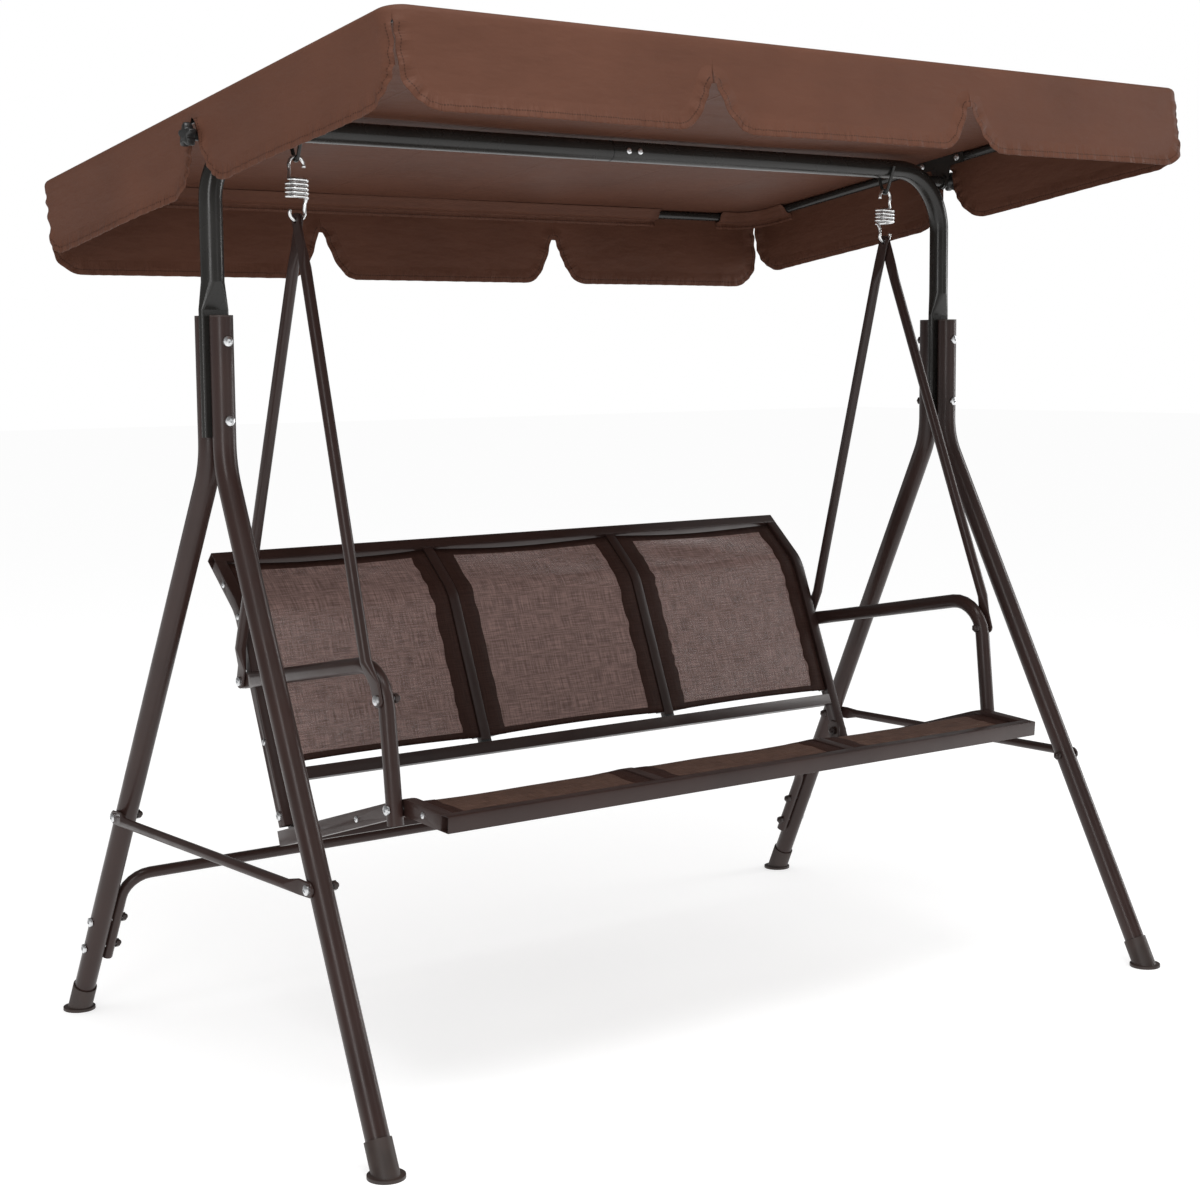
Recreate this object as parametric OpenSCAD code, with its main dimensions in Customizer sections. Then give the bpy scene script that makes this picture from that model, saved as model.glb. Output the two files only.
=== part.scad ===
// Three-seat garden swing with a tilting canopy, +X to the right, +Y to the
// back, +Z up. The origin is on the floor, midway between the four feet.

/* [Stand] */
// Distance between the two upright posts, centre to centre
post_span = 1548; // [1420:1:1700]
// How much further out each foot stands than its post, sideways
foot_splay = 34; // [20:1:60]
// Distance between the front and rear feet, centre to centre
foot_depth = 986; // [850:1:1180]
// Height of the leg tops above the floor
leg_top_h = 1168; // [1120:1:1220]
// Height where the slanting leg bends upright
leg_bend_h = 947; // [850:1:970]
// Height of the top bar's axis above the floor
bar_h = 1449; // [1400:1:1740]
// Outside diameter of the leg and top bar tubes
tube_d = 35; // [30:1:42]
// Wall of the leg and top bar tubes
tube_wall = 1.5; // [1:0.1:2.2]
// Bend radius where the posts turn into the top bar
bar_bend_r = 110; // [90:1:130]
// Thickness of the flattened post ends held between the legs
post_flat_t = 12; // [10:0.5:14]
// Length of the flattened post ends
post_flat_l = 190; // [180:1:210]
// How far a flattened post end reaches below the leg tops
post_reach = 178; // [165:1:185]
// Diameter of the foot flanges
foot_flange_d = 54; // [50:1:66]
// Height of the foot sleeves along the leg
foot_sleeve_l = 52; // [40:1:62]
// Wall of the foot sleeves
foot_wall = 2.5; // [2:0.1:4]
// Height of the side braces' bolts
brace_h = 365; // [300:1:440]
// Outside diameter of the side braces
brace_d = 16; // [14:1:20]
// Outside diameter of the rear stretcher
stretcher_d = 19; // [16:1:22]
// Height of the rear stretcher's long run
stretcher_h = 250; // [220:1:300]
// Heights of the two bolts that hold each end of the rear stretcher
stretcher_bolt_low = 121; // [110:1:130]
// Height of the upper of those bolts
stretcher_bolt_high = 171; // [160:1:190]

/* [Hangers and springs] */
// Diameter of the rod of the spring eyes
eye_rod_d = 6; // [5:0.5:7]
// Wire diameter of the springs
wire_d = 5.5; // [4.5:0.1:6]
// Outside diameter of the spring coils
coil_od = 37; // [32:1:42]
// Mean radius of the spring hooks
hook_r = 13; // [12:0.5:14]
// Length of the springs between the wire centres of their two hooks
spring_l = 96; // [90:1:110]
// Number of turns in a spring
coil_turns = 4.5; // [3.5:1:5.5]
// Outside diameter of the hanger tubes
hanger_d = 18; // [16:1:20]
// Thickness of the flattened hanger ends
hanger_flat_t = 4; // [3:0.5:4.4]
// Width of the flattened hanger ends
hanger_flat_w = 24; // [20:1:26]

/* [Seat and back] */
// Gap between a post's centre and the outside of the seat frame
seat_side_gap = 148; // [135:1:170]
// Front face of the seat frame, forward of the posts
seat_front = 384; // [330:1:450]
// Rear face of the seat frame, behind the posts
seat_rear = 110; // [90:1:125]
// Height of the seat rail's centreline at the rear
seat_rear_h = 337; // [320:1:350]
// Height of the seat rail's centreline at its bend
seat_bend_h = 450; // [430:1:470]
// Height of the seat rail's centreline at the front
seat_front_h = 442; // [425:1:455]
// Forward position of the bend in the seat rails
seat_bend_y = 266; // [250:1:290]
// Height of the seat rails' section
seat_rail_t = 25; // [22:1:30]
// Width of the side rails, front rail and bars
rail_w = 20; // [18:1:24]
// Depth of the back rails' section
back_rail_t = 20; // [18:1:22]
// Wall of the seat and back rails
rail_wall = 1.2; // [1:0.1:2]
// Length of the back's lower, steeper part
back_lower_l = 363; // [330:1:420]
// Length of the back's upper, raked part
back_upper_l = 122; // [90:1:150]
// Rake of the back's lower part from upright
back_lower_rake = 21.4; // [16:0.1:26]
// Rake of the back's upper part from upright
back_upper_rake = 48; // [36:1:52]
// Distance of the back's bottom rail from the lower end of the back
back_rail_up = 80; // [72:1:95]
// Thickness of the sling fabric
fabric_t = 1.2; // [1:0.1:1.6]
// Thickness of the flat rods in the sling pockets
sling_rod_t = 8; // [6:0.5:9]
// Width of the flat rods in the sling pockets
sling_rod_w = 10; // [8:0.5:12]
// Gap between a sling's end and the rail beyond it
sling_end_gap = 9; // [6:0.5:12]

/* [Armrests] */
// Outside diameter of the armrest tubes
arm_d = 25; // [22:1:28]
// Wall of the armrest tubes
arm_wall = 1.2; // [1:0.1:2]
// Height of the armrest's rear bolt
arm_rear_h = 591; // [570:1:605]
// Height of the corner where the armrest turns down
arm_corner_h = 663; // [640:1:700]
// Bend radius of the armrest
arm_bend_r = 62; // [56:1:68]
// Height of the front hanger's bolt
hanger_bolt_h = 609; // [585:1:615]

/* [Canopy] */
// How far the canopy reaches beyond each post's centre, sideways
canopy_overhang = 26; // [25:1:40]
// Depth of the canopy frame, front to back
canopy_depth = 1108; // [950:1:1250]
// Resting tilt of the canopy, front edge up
canopy_tilt = 8; // [0:0.5:15]
// Drop of the valance
valance_drop = 143; // [125:1:175]
// Outside diameter of the canopy frame tubes
hoop_d = 16; // [14:1:18]
// Bend radius at the canopy frame's corners
hoop_bend_r = 60; // [40:1:80]
// Distance of the tilt pivots below the top bar's axis
pivot_drop = 17; // [15:1:20]
// Height of the canopy frame's tubes above the tilt pivots
hoop_rise = 37; // [36:1:46]
// Thickness of the canopy fabric
canopy_t = 1.5; // [1:0.1:2]
// Radius of the valance's rounded lower corners
scallop_r = 48; // [30:1:55]
// Diameter of the star knobs
knob_d = 38; // [32:1:42]

/* [Hidden] */

$fn = 48;
eps = 0.01;
LEFT = -1;
RIGHT = 1;
FRONT = -1;
REAR = 1;

// colours
coat = "#3b2f2d";
bar_coat = "#3f3c39";
zinc = "#c9cacb";
black_plastic = "#161515";
brown_plastic = "#33241f";
sling_cloth = "#6a5650";
canopy_cloth = "#5f453a";

// fasteners: M8 bolts and M5 screws
bolt_d = 8;
bolt_hole_d = 8.4;
head_d = 15;
head_h = 5;
nut_af = 13;
nut_h = 6.5;
nut_dome_h = 5;
thread_gap = 0.05;
bend_step = 0.04;
bend_lap = 0.3;
tube_sides = 32;
lap = 1;
vent_d = 3;
screw_d = 5;
screw_hole_d = 5.4;
screw_head_d = 10;
screw_head_h = 2.6;
touch = 0.3;

// stand
post_x = post_span / 2;
foot_x = post_x + foot_splay;
foot_y = foot_depth / 2;
leg_y = post_flat_t / 2 + tube_d / 2;
tube_r = tube_d / 2;
leg_bend_r = 150;
leg_in = (foot_y - leg_y) / leg_bend_h;
leg_side = foot_splay / leg_bend_h;
foot_plate_t = 5;
leg_dir = [-leg_side, -leg_in, 1] / norm([leg_side, leg_in, 1]);
leg_lean = acos(leg_dir.z);
leg_end_h = foot_plate_t + tube_r * sin(leg_lean) + 1;
leg_bolt_heights = [leg_top_h - 36, leg_top_h - 153];
post_flat_w = post_flat_t + (tube_d - post_flat_t) * PI / 2;
post_low = leg_top_h - post_reach;
post_taper_l = 40;

function leg_at(h) = [foot_x - leg_side * h, foot_y - leg_in * h, h];

// joint in the middle of the top bar
seam_x = -27;
spigot_l = 80;
spigot_gap = 0.2;
spigot_d = tube_d - 2 * tube_wall - 2 * spigot_gap;
joint_screws_x = [seam_x + 30, seam_x + 54];

// spring eyes, springs and the swing's axis
frame_x = post_x - seat_side_gap;
spring_x = frame_x + 2;
eye_half_angle = 22;
eye_bend_r = wire_d / 2 + 0.25 + eye_rod_d / 2;
eye_reach = (tube_r + eye_rod_d / 2) / sin(eye_half_angle);
swing_h = bar_h - eye_reach + eye_bend_r / sin(eye_half_angle);
hook_low_h = swing_h - spring_l;
coil_r = (coil_od - wire_d) / 2;
coil_pitch = wire_d + 0.8;
coil_mid_h = swing_h - spring_l / 2;
hanger_hole_d = 9;
hanger_hole_h = hook_low_h + wire_d / 2 + 1.6 - hanger_hole_d / 2;

// side profile of the seat and the back, as points (y, z)
function unit(v) = v / norm(v);
function turned(v, a) = [v.x * cos(a) - v.y * sin(a), v.x * sin(a) + v.y * cos(a)];
function left_of(v) = [-v.y, v.x];
function cross2(u, v) = u.x * v.y - u.y * v.x;
function rounded(a, b, c, r, n = 8) =
    let (u = unit(b - a), w = unit(c - b), turn = acos(u * w), way = sign(cross2(u, w)),
         start = b - u * r * tan(turn / 2), mid = start + way * r * left_of(u))
    [a, for (i = [0:n]) mid + turned(start - mid, way * turn * i / n), c];
function normal_at(p, i) =
    let (before = i > 0 ? left_of(unit(p[i] - p[i - 1])) : left_of(unit(p[1] - p[0])),
         after = i < len(p) - 1 ? left_of(unit(p[i + 1] - p[i])) : before,
         middle = unit(before + after))
    middle / (middle * before);
function beside(p, d) = [for (i = [0:len(p) - 1]) p[i] + d * normal_at(p, i)];
function band(p, low, high) =
    let (under = beside(p, low), over = beside(p, high), n = len(p))
    concat(under, [for (i = [n - 1:-1:0]) over[i]]);
function run(p, i) = i == 0 ? 0 : run(p, i - 1) + norm(p[i] - p[i - 1]);
function total(p) = run(p, len(p) - 1);
function at(p, s, i = 1) =
    i == len(p) - 1 || run(p, i) >= s
        ? p[i - 1] + (s - run(p, i - 1)) * unit(p[i] - p[i - 1])
        : at(p, s, i + 1);
function stretch(p, s0, s1) =
    [at(p, s0), for (i = [1:len(p) - 2]) if (run(p, i) > s0 + 0.5 && run(p, i) < s1 - 0.5) p[i], at(p, s1)];
function heading(p, s) = unit(at(p, s + 1) - at(p, s));
function longer(p, d) =
    let (n = len(p) - 1)
    [p[0] - d * unit(p[1] - p[0]), for (i = [1:n - 1]) p[i], p[n] + d * unit(p[n] - p[n - 1])];
function lift(p, y) =
    [for (i = [1:len(p) - 1]) if ((p[i - 1].x - y) * (p[i].x - y) <= 0)
        p[i - 1].y + (y - p[i - 1].x) * (p[i].y - p[i - 1].y) / (p[i].x - p[i - 1].x)][0];

// the seat path runs from the front rail to the back, the back path runs up
seat_path = rounded([-seat_front, seat_front_h], [-seat_bend_y, seat_bend_h],
                    [seat_rear, seat_rear_h], 60);
seat_rail_path = stretch(seat_path, rail_w, total(seat_path));
back_foot_gap = 22;
back_start = [seat_rear - 12, seat_rear_h + back_foot_gap];
back_lower_dir = [sin(back_lower_rake), cos(back_lower_rake)];
back_upper_dir = [sin(back_upper_rake), cos(back_upper_rake)];
back_bend_at = back_start + back_lower_l * back_lower_dir;
back_end = back_bend_at + back_upper_l * back_upper_dir;
back_path = rounded(back_start, back_bend_at, back_end, 80);
back_l = total(back_path);
back_bolt_up = 18;
back_bolt_at = at(back_path, back_bolt_up);
lug_t = 4;
inner_x = frame_x - rail_w;

// sling panels: three across, between the side rails and the two bars
panel_w = (2 * inner_x - 2 * rail_w) / 3;
bar_x = panel_w / 2 + rail_w / 2;
panel_mid = [-(panel_w + rail_w), 0, panel_w + rail_w];
pocket_gap = 0.3;
pocket_t = sling_rod_t + 2 * pocket_gap + 2 * fabric_t;
pocket_w = sling_rod_w + 2 * pocket_gap + 2 * fabric_t;
sheet_high = pocket_t / 2;
sheet_low = sheet_high - fabric_t;
bar_t = 14;
cap_t = 4;
seat_sling = stretch(seat_path, rail_w + sling_end_gap, total(seat_path) - rail_w - sling_end_gap);
back_sling = stretch(back_path, back_rail_up + back_rail_t / 2 + sling_end_gap,
                     back_l - back_rail_t - sling_end_gap / 3);
seat_screws = [for (y = [-318, -133, -14]) [y, lift(seat_path, y)]];
back_screws = [for (s = [140, 352, 420]) at(back_path, s)];

// armrests
arm_x = frame_x + arm_d / 2;
post_foot_lean = 5.9;
arm_post_y = -(seat_bend_y - 5);
arm_post_bolt = [arm_post_y, lift(seat_path, arm_post_y)];
function arm_post_at(h) = [arm_post_y + (h - arm_post_bolt.y) * tan(post_foot_lean), h];
arm_corner = arm_post_at(arm_corner_h);
arm_foot = arm_post_at(arm_post_bolt.y - 24);
hanger_bolt = arm_post_at(hanger_bolt_h);
arm_rear_s = back_bolt_up + (arm_rear_h - back_bolt_at.y) / cos(back_lower_rake);
arm_lug_reach = back_rail_t / 2 + 11;
arm_rear = at(back_path, arm_rear_s) + arm_lug_reach * [cos(back_lower_rake), -sin(back_lower_rake)];
arm_flat_t = 6;
arm_flat_w = 26;
arm_flat_x = frame_x + touch / 2;
rear_hanger_x = arm_flat_x + arm_flat_t + touch / 2;
front_hanger_x = frame_x + arm_d + touch / 2;
arm_dir = unit(arm_corner - arm_rear);

// canopy, in its own frame with the tilt pivots' axis as its origin
pivot_h = bar_h - pivot_drop;
hoop_r = hoop_d / 2;
hoop_x = post_x + canopy_overhang - canopy_t - touch - hoop_r;
plate_x = hoop_x - hoop_r - 3;
plate_t = 3;
pivot_shift = 5;
hoop_front = -(canopy_depth / 2 - pivot_shift) + hoop_r;
hoop_back = canopy_depth / 2 + pivot_shift - hoop_r;
hoop_gap = 60;
cover_x = hoop_x + hoop_r + touch;
cover_front = hoop_front - hoop_r - touch;
cover_back = hoop_back + hoop_r + touch;
cover_h = hoop_rise + hoop_r + touch;
knob_hub_d = 16;
knob_t = 15;
knob_x = cover_x + canopy_t + 1.5;
pivot_bore_d = bolt_d + 0.16;
slit_w = 6;
band_h = 26;
side_slot_w = 46;

// ---------- shared shapes ----------

module on_side(side) mirror([side < 0 ? 1 : 0, 0, 0]) children();

module across(x0, x1) translate([x0, 0, 0]) rotate([90, 0, 90]) linear_extrude(x1 - x0) children();

// a straight round bar between two points
module round_bar(a, b, d) {
    v = b - a;
    translate(a) rotate([0, acos(v.z / norm(v)), atan2(v.y, v.x)]) cylinder(d = d, h = norm(v));
}

// a round bar along straight runs joined by bends of one radius; each bend is
// a hair fatter than the runs, which reach a little way into it
module bent_bar(p, r, d) {
    n = len(p) - 1;
    u = [for (i = [1:n]) unit(p[i] - p[i - 1])];
    turn = [0, for (i = [1:n - 1]) acos(u[i - 1] * u[i]), 0];
    cut = [for (t = turn) r * tan(t / 2)];
    for (i = [1:n]) round_bar(p[i - 1] + (cut[i - 1] - (i > 1 ? bend_lap : 0)) * u[i - 1],
                              p[i] - (cut[i] - (i < n ? bend_lap : 0)) * u[i - 1], d);
    for (i = [1:n - 1]) {
        inward = unit(u[i] - (u[i] * u[i - 1]) * u[i - 1]);
        middle = p[i] - cut[i] * u[i - 1] + r * inward;
        x = -inward;
        y = u[i - 1];
        z = cross(x, y);
        multmatrix([[x.x, y.x, z.x, middle.x], [x.y, y.y, z.y, middle.y], [x.z, y.z, z.z, middle.z]])
            rotate_extrude(angle = turn[i]) translate([r, 0]) circle(d = d + bend_step);
    }
}

module bent_tube(p, r, d, wall) {
    n = len(p) - 1;
    through = [p[0] - unit(p[1] - p[0]), for (i = [1:n - 1]) p[i], p[n] + unit(p[n] - p[n - 1])];
    difference() {
        bent_bar(p, r, d);
        bent_bar(through, r, d - 2 * wall);
    }
}

// corner points of a bend of radius r between two straight runs
function bend_points(a, b, c, r, n) =
    let (u = unit(b - a), w = unit(c - b), turn = acos(u * w), inward = unit(w - (w * u) * u),
         middle = b - r * tan(turn / 2) * u + r * inward)
    [for (i = [0:n]) middle + r * (sin(turn * i / n) * u - cos(turn * i / n) * inward)];
function bent(p, r, n = 6) =
    [p[0], for (i = [1:len(p) - 2]) each bend_points(p[i - 1], p[i], p[i + 1], r, n), p[len(p) - 1]];

function ring_faces(n, sides) = concat(
    [[for (k = [0:sides - 1]) k]],
    [for (i = [0:n - 2]) for (k = [0:sides - 1]) let (m = (k + 1) % sides)
        [i * sides + k, (i + 1) * sides + k, (i + 1) * sides + m, i * sides + m]],
    [[for (k = [sides - 1:-1:0]) (n - 1) * sides + k]]);

// a round wire or bar that follows points in space
module swept(points, d, sides = 10) {
    n = len(points);
    along = [for (i = [0:n - 1]) unit(points[min(i + 1, n - 1)] - points[max(i - 1, 0)])];
    across_dir = [for (i = 0, v = [0, 1, 0]; i < n;
                       v = unit(v - (v * along[min(i, n - 1)]) * along[min(i, n - 1)]), i = i + 1)
                  unit(v - (v * along[i]) * along[i])];
    polyhedron(points = [for (i = [0:n - 1]) for (k = [0:sides - 1]) let (a = 360 * k / sides)
        points[i] + d / 2 * (cos(a) * across_dir[i] + sin(a) * cross(along[i], across_dir[i]))],
        faces = ring_faces(n, sides), convexity = 10);
}

module swept_tube(p, r, d, wall) difference() {
    n = len(p) - 1;
    swept(bent(p, r), d, tube_sides);
    swept(bent([p[0] - unit(p[1] - p[0]), for (i = [1:n - 1]) p[i], p[n] + unit(p[n] - p[n - 1])], r),
          d - 2 * wall, tube_sides);
}

// a tube that may be pressed flat, as rings [x, point of the side profile, heading, width, thickness]
module pressed(rings, sides = tube_sides)
    polyhedron(points = [for (g = rings) for (k = [0:sides - 1])
        let (a = 360 * (k + 0.5) / sides, u = sign(cos(a)) * (g[3] - g[4]) / 2 + cos(a) * g[4] / 2)
        [g[0] + sin(a) * g[4] / 2, g[1].x - g[2].y * u, g[1].y + g[2].x * u]],
        faces = ring_faces(len(rings), sides), convexity = 10);

// the round end of a pressed tongue, about its hole, and the other end of one
function ear(x, at, dir, w, t) = [for (b = [20, 45, 70]) [x, at - w / 2 * cos(b) * dir, dir, w * sin(b), t]];
function far_ear(x, at, dir, w, t) = [for (b = [70, 45, 20]) [x, at + w / 2 * cos(b) * dir, dir, w * sin(b), t]];

// outline with round ends, w long and t thick
module slot_outline(w, t) {
    square([w - t, t], center = true);
    for (s = [-1, 1]) translate([s * (w - t) / 2, 0]) circle(d = t);
}

// a hole or shank along X or Y at a point
module along_x(x0, x1, at, d, turn = 0) translate([x0, at.x, at.y]) rotate([0, 90, 0]) rotate([0, 0, turn]) cylinder(d = d, h = x1 - x0);
module along_y(y0, y1, at, d, turn = 0) translate([at.x, y0, at.y]) rotate([-90, 0, 0]) rotate([0, 0, turn]) cylinder(d = d, h = y1 - y0);

// a round-headed bolt with its head's underside at the origin and its shank down -Z
module bolt(shank_l, d = bolt_d, hd = head_d, hh = head_h) {
    difference() {
        rotate_extrude() intersection() {
            translate([0, hh - hd]) circle(r = hd);
            square([hd / 2, hh]);
        }
        translate([0, 0, hh / 2]) cylinder(d = hd * 0.42, h = hh, $fn = 6);
    }
    translate([0, 0, -shank_l]) cylinder(d = d, h = shank_l);
}

// a domed cap nut, standing on the origin, with a blind bore
module cap_nut() {
    difference() {
        union() {
            cylinder(d = nut_af / cos(30), h = nut_h, $fn = 6);
            translate([0, 0, nut_h]) rotate_extrude() intersection() {
                circle(r = nut_dome_h);
                square([nut_dome_h, nut_dome_h]);
            }
        }
        translate([0, 0, -eps]) cylinder(d = bolt_d + 2 * thread_gap, h = nut_h + 2);
    }
}

module facing_x(side, x, at) translate([side * x, at.x, at.y]) rotate([0, side * 90, 0]) children();
module facing_y(way, y, at) translate([at.x, way * y, at.y]) rotate([-way * 90, 0, 0]) children();

// ---------- stand ----------

module leg_place(side, way) mirror([side < 0 ? 1 : 0, 0, 0]) mirror([0, way < 0 ? 1 : 0, 0]) children();

module leg(side, way) color(coat) difference() {
    leg_place(side, way) swept_tube([leg_at(leg_end_h), leg_at(leg_bend_h), [post_x, leg_y, leg_top_h]],
                                    leg_bend_r, tube_d, tube_wall);
    for (h = leg_bolt_heights) along_y(-100, 100, [side * post_x, h], bolt_hole_d, 25);
    along_x(-1000, 1000, [way * leg_at(brace_h).y, brace_h], bolt_hole_d, 25);
    if (way == REAR) for (h = [stretcher_bolt_low, stretcher_bolt_high])
        along_x(-1000, 1000, [leg_at(h).y, h], bolt_hole_d, 25);
}

// a plastic foot: a flat flange on the floor and a slanting sleeve over the leg's end
module foot() difference() {
    union() {
        translate([foot_x, foot_y, 0]) cylinder(d = foot_flange_d, h = foot_plate_t);
        intersection() {
            round_bar(leg_at(-20), leg_at(0) + foot_sleeve_l * leg_dir, tube_d + 2 * foot_wall);
            translate([foot_x - 100, foot_y - 100, 0]) cube([200, 200, 100]);
        }
    }
    round_bar(leg_at(leg_end_h) - touch * leg_dir, leg_at(200), tube_d + touch);
}

module feet() color(brown_plastic)
    for (side = [LEFT, RIGHT], way = [FRONT, REAR]) leg_place(side, way) foot();

module leg_top_caps() color(brown_plastic)
    for (side = [LEFT, RIGHT], way = [FRONT, REAR]) translate([side * post_x, way * leg_y, leg_top_h]) {
        cylinder(d = tube_d, h = 2.5);
        translate([0, 0, -9]) cylinder(d = tube_d - 2 * tube_wall - touch, h = 9);
    }

module post_end() {
    taper_low = post_low + post_flat_l;
    difference() {
        union() {
            translate([post_x, 0, post_low]) linear_extrude(post_flat_l) slot_outline(post_flat_w, post_flat_t);
            hull() {
                translate([post_x, 0, taper_low - lap]) linear_extrude(eps)
                    slot_outline(post_flat_w + bend_step, post_flat_t + bend_step, $fn = 32);
                translate([post_x, 0, taper_low + post_taper_l + lap])
                    cylinder(d = tube_d - bend_step, h = eps, $fn = 32);
            }
        }
        translate([post_x, 0, post_low - 1]) linear_extrude(post_flat_l - 5)
            slot_outline(post_flat_w - 2 * tube_wall, post_flat_t - 2 * tube_wall);
        for (h = leg_bolt_heights) along_y(-50, 50, [post_x, h], bolt_hole_d);
    }
}

module bar_run(x_end, d = tube_d) {
    foot_h = post_low + post_flat_l + post_taper_l;
    bent_bar([[post_x, 0, foot_h], [post_x, 0, bar_h], [x_end, 0, bar_h]], bar_bend_r, d);
}

module top_bar_half(x_end) {
    foot_h = post_low + post_flat_l + post_taper_l;
    bent_tube([[post_x, 0, foot_h], [post_x, 0, bar_h], [x_end, 0, bar_h]], bar_bend_r, tube_d, tube_wall);
    post_end();
}

module joint_screw_holes() for (x = joint_screws_x) along_y(-50, 0, [x, bar_h], screw_hole_d);

module top_bar_left() color(bar_coat) difference() {
    union() {
        on_side(LEFT) top_bar_half(-seam_x);
        difference() {
            union() {
                along_x(seam_x - 4, seam_x, [0, bar_h], tube_d - tube_wall);
                along_x(seam_x - 4, seam_x + spigot_l, [0, bar_h], spigot_d);
            }
            along_x(seam_x - 10, seam_x + spigot_l + 1, [0, bar_h], spigot_d - 2 * tube_wall);
        }
    }
    joint_screw_holes();
}

module top_bar_right() color(bar_coat) difference() {
    top_bar_half(seam_x);
    joint_screw_holes();
}

module top_bar_screws() color(zinc)
    for (x = joint_screws_x) facing_y(FRONT, tube_r, [x, bar_h]) bolt(8, screw_d, screw_head_d, screw_head_h);

module spring_eye() {
    low = bar_h - eye_reach;
    top = bar_h + 4;
    spread = (top - low) * tan(eye_half_angle);
    bent_bar([[spring_x, -spread, top], [spring_x, 0, low], [spring_x, spread, top]], eye_bend_r, eye_rod_d);
}

module spring_eyes() color(coat) for (side = [LEFT, RIGHT]) on_side(side) spring_eye();

// a stub welded to the outside of the bar's bend, with a disc that faces the canopy's plate
module tilt_bracket(side) color(coat) on_side(side) difference() {
    union() {
        along_x(post_x - 60, plate_x - touch / 2, [0, pivot_h], 20);
        along_x(plate_x - 4, plate_x - touch / 2, [0, pivot_h], 28);
    }
    bar_run(0);
    along_x(post_x - 80, plate_x + 1, [0, pivot_h], bolt_d + 2 * thread_gap);
}

module tilt_bolts() color(zinc) for (side = [LEFT, RIGHT]) on_side(side)
    along_x(plate_x - 22, knob_x + knob_t - 4, [0, pivot_h], bolt_d);

brace_flat_t = 4;
brace_flat_w = 24;
brace_tongue_l = 26;
brace_taper_l = 22;
brace_gap = 0.6;
brace_wall = 1.2;

module side_brace(side) color(coat) on_side(side) difference() {
    y = leg_at(brace_h).y;
    x0 = leg_at(brace_h).x + tube_r + brace_gap;
    x = x0 + brace_flat_t / 2;
    tube_x = x0 + brace_d / 2;
    tube_y = y - brace_tongue_l - brace_taper_l;
    dir = [1, 0];
    pressed(concat(
        ear(x, [-y, brace_h], dir, brace_flat_w, brace_flat_t),
        [[x, [brace_tongue_l - y, brace_h], dir, brace_flat_w, brace_flat_t],
         [tube_x, [-tube_y, brace_h], dir, brace_d, brace_d],
         [tube_x, [tube_y, brace_h], dir, brace_d, brace_d],
         [x, [y - brace_tongue_l, brace_h], dir, brace_flat_w, brace_flat_t]],
        far_ear(x, [y, brace_h], dir, brace_flat_w, brace_flat_t)));
    for (way = [FRONT, REAR]) along_x(x0 - 1, x0 + brace_flat_t + 1, [way * y, brace_h], bolt_hole_d);
    // hollow between the tapers, with a small drain hole underneath
    along_y(2 * lap - tube_y, tube_y - 2 * lap, [tube_x, brace_h], brace_d - 2 * brace_wall);
    translate([tube_x, 0, brace_h - brace_d]) cylinder(d = vent_d, h = brace_d);
}

// the stretcher's ends turn down and lie along the inside of the rear legs
stretcher_gap = 0.6;
stretcher_in = tube_r + stretcher_d / 2 + stretcher_gap;
function stretcher_at(h) = leg_at(h) - [stretcher_in, 0, 0];
module rear_stretcher() color(coat) difference() {
    low = stretcher_at(stretcher_bolt_low - 22);
    high = stretcher_at(stretcher_h);
    swept_tube([[-low.x, low.y, low.z], [-high.x, high.y, high.z], high, low], 45, stretcher_d, 1.2);
    for (h = [stretcher_bolt_low, stretcher_bolt_high]) along_x(-1000, 1000, [leg_at(h).y, h], bolt_hole_d);
}

module leg_bolts() color(zinc) for (side = [LEFT, RIGHT], h = leg_bolt_heights)
    facing_y(FRONT, leg_y + tube_r, [side * post_x, h]) bolt(2 * (leg_y + tube_r) + nut_h);

module brace_bolts() color(zinc) for (side = [LEFT, RIGHT], way = [FRONT, REAR])
    facing_x(side, leg_at(brace_h).x + tube_r + brace_gap + brace_flat_t, [way * leg_at(brace_h).y, brace_h])
        bolt(tube_d + 2 * brace_gap + brace_flat_t + nut_h);

module stretcher_bolts() color(zinc) for (side = [LEFT, RIGHT], h = [stretcher_bolt_low, stretcher_bolt_high])
    facing_x(side, leg_at(h).x + tube_r + touch, [leg_at(h).y, h])
        bolt(tube_d + stretcher_gap + stretcher_d + 2 * touch + nut_h);

module stand_nuts() color(coat) {
    for (side = [LEFT, RIGHT], h = leg_bolt_heights)
        facing_y(REAR, leg_y + tube_r, [side * post_x, h]) cap_nut();
    for (side = [LEFT, RIGHT], way = [FRONT, REAR])
        translate([side * (leg_at(brace_h).x - tube_r - brace_gap), way * leg_at(brace_h).y, brace_h])
            rotate([0, -side * 90, 0]) cap_nut();
    for (side = [LEFT, RIGHT], h = [stretcher_bolt_low, stretcher_bolt_high])
        translate([side * (leg_at(h).x - tube_r - stretcher_gap - stretcher_d - touch), leg_at(h).y, h])
            rotate([0, -side * 90, 0]) cap_nut();
}

// ---------- springs ----------

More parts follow.
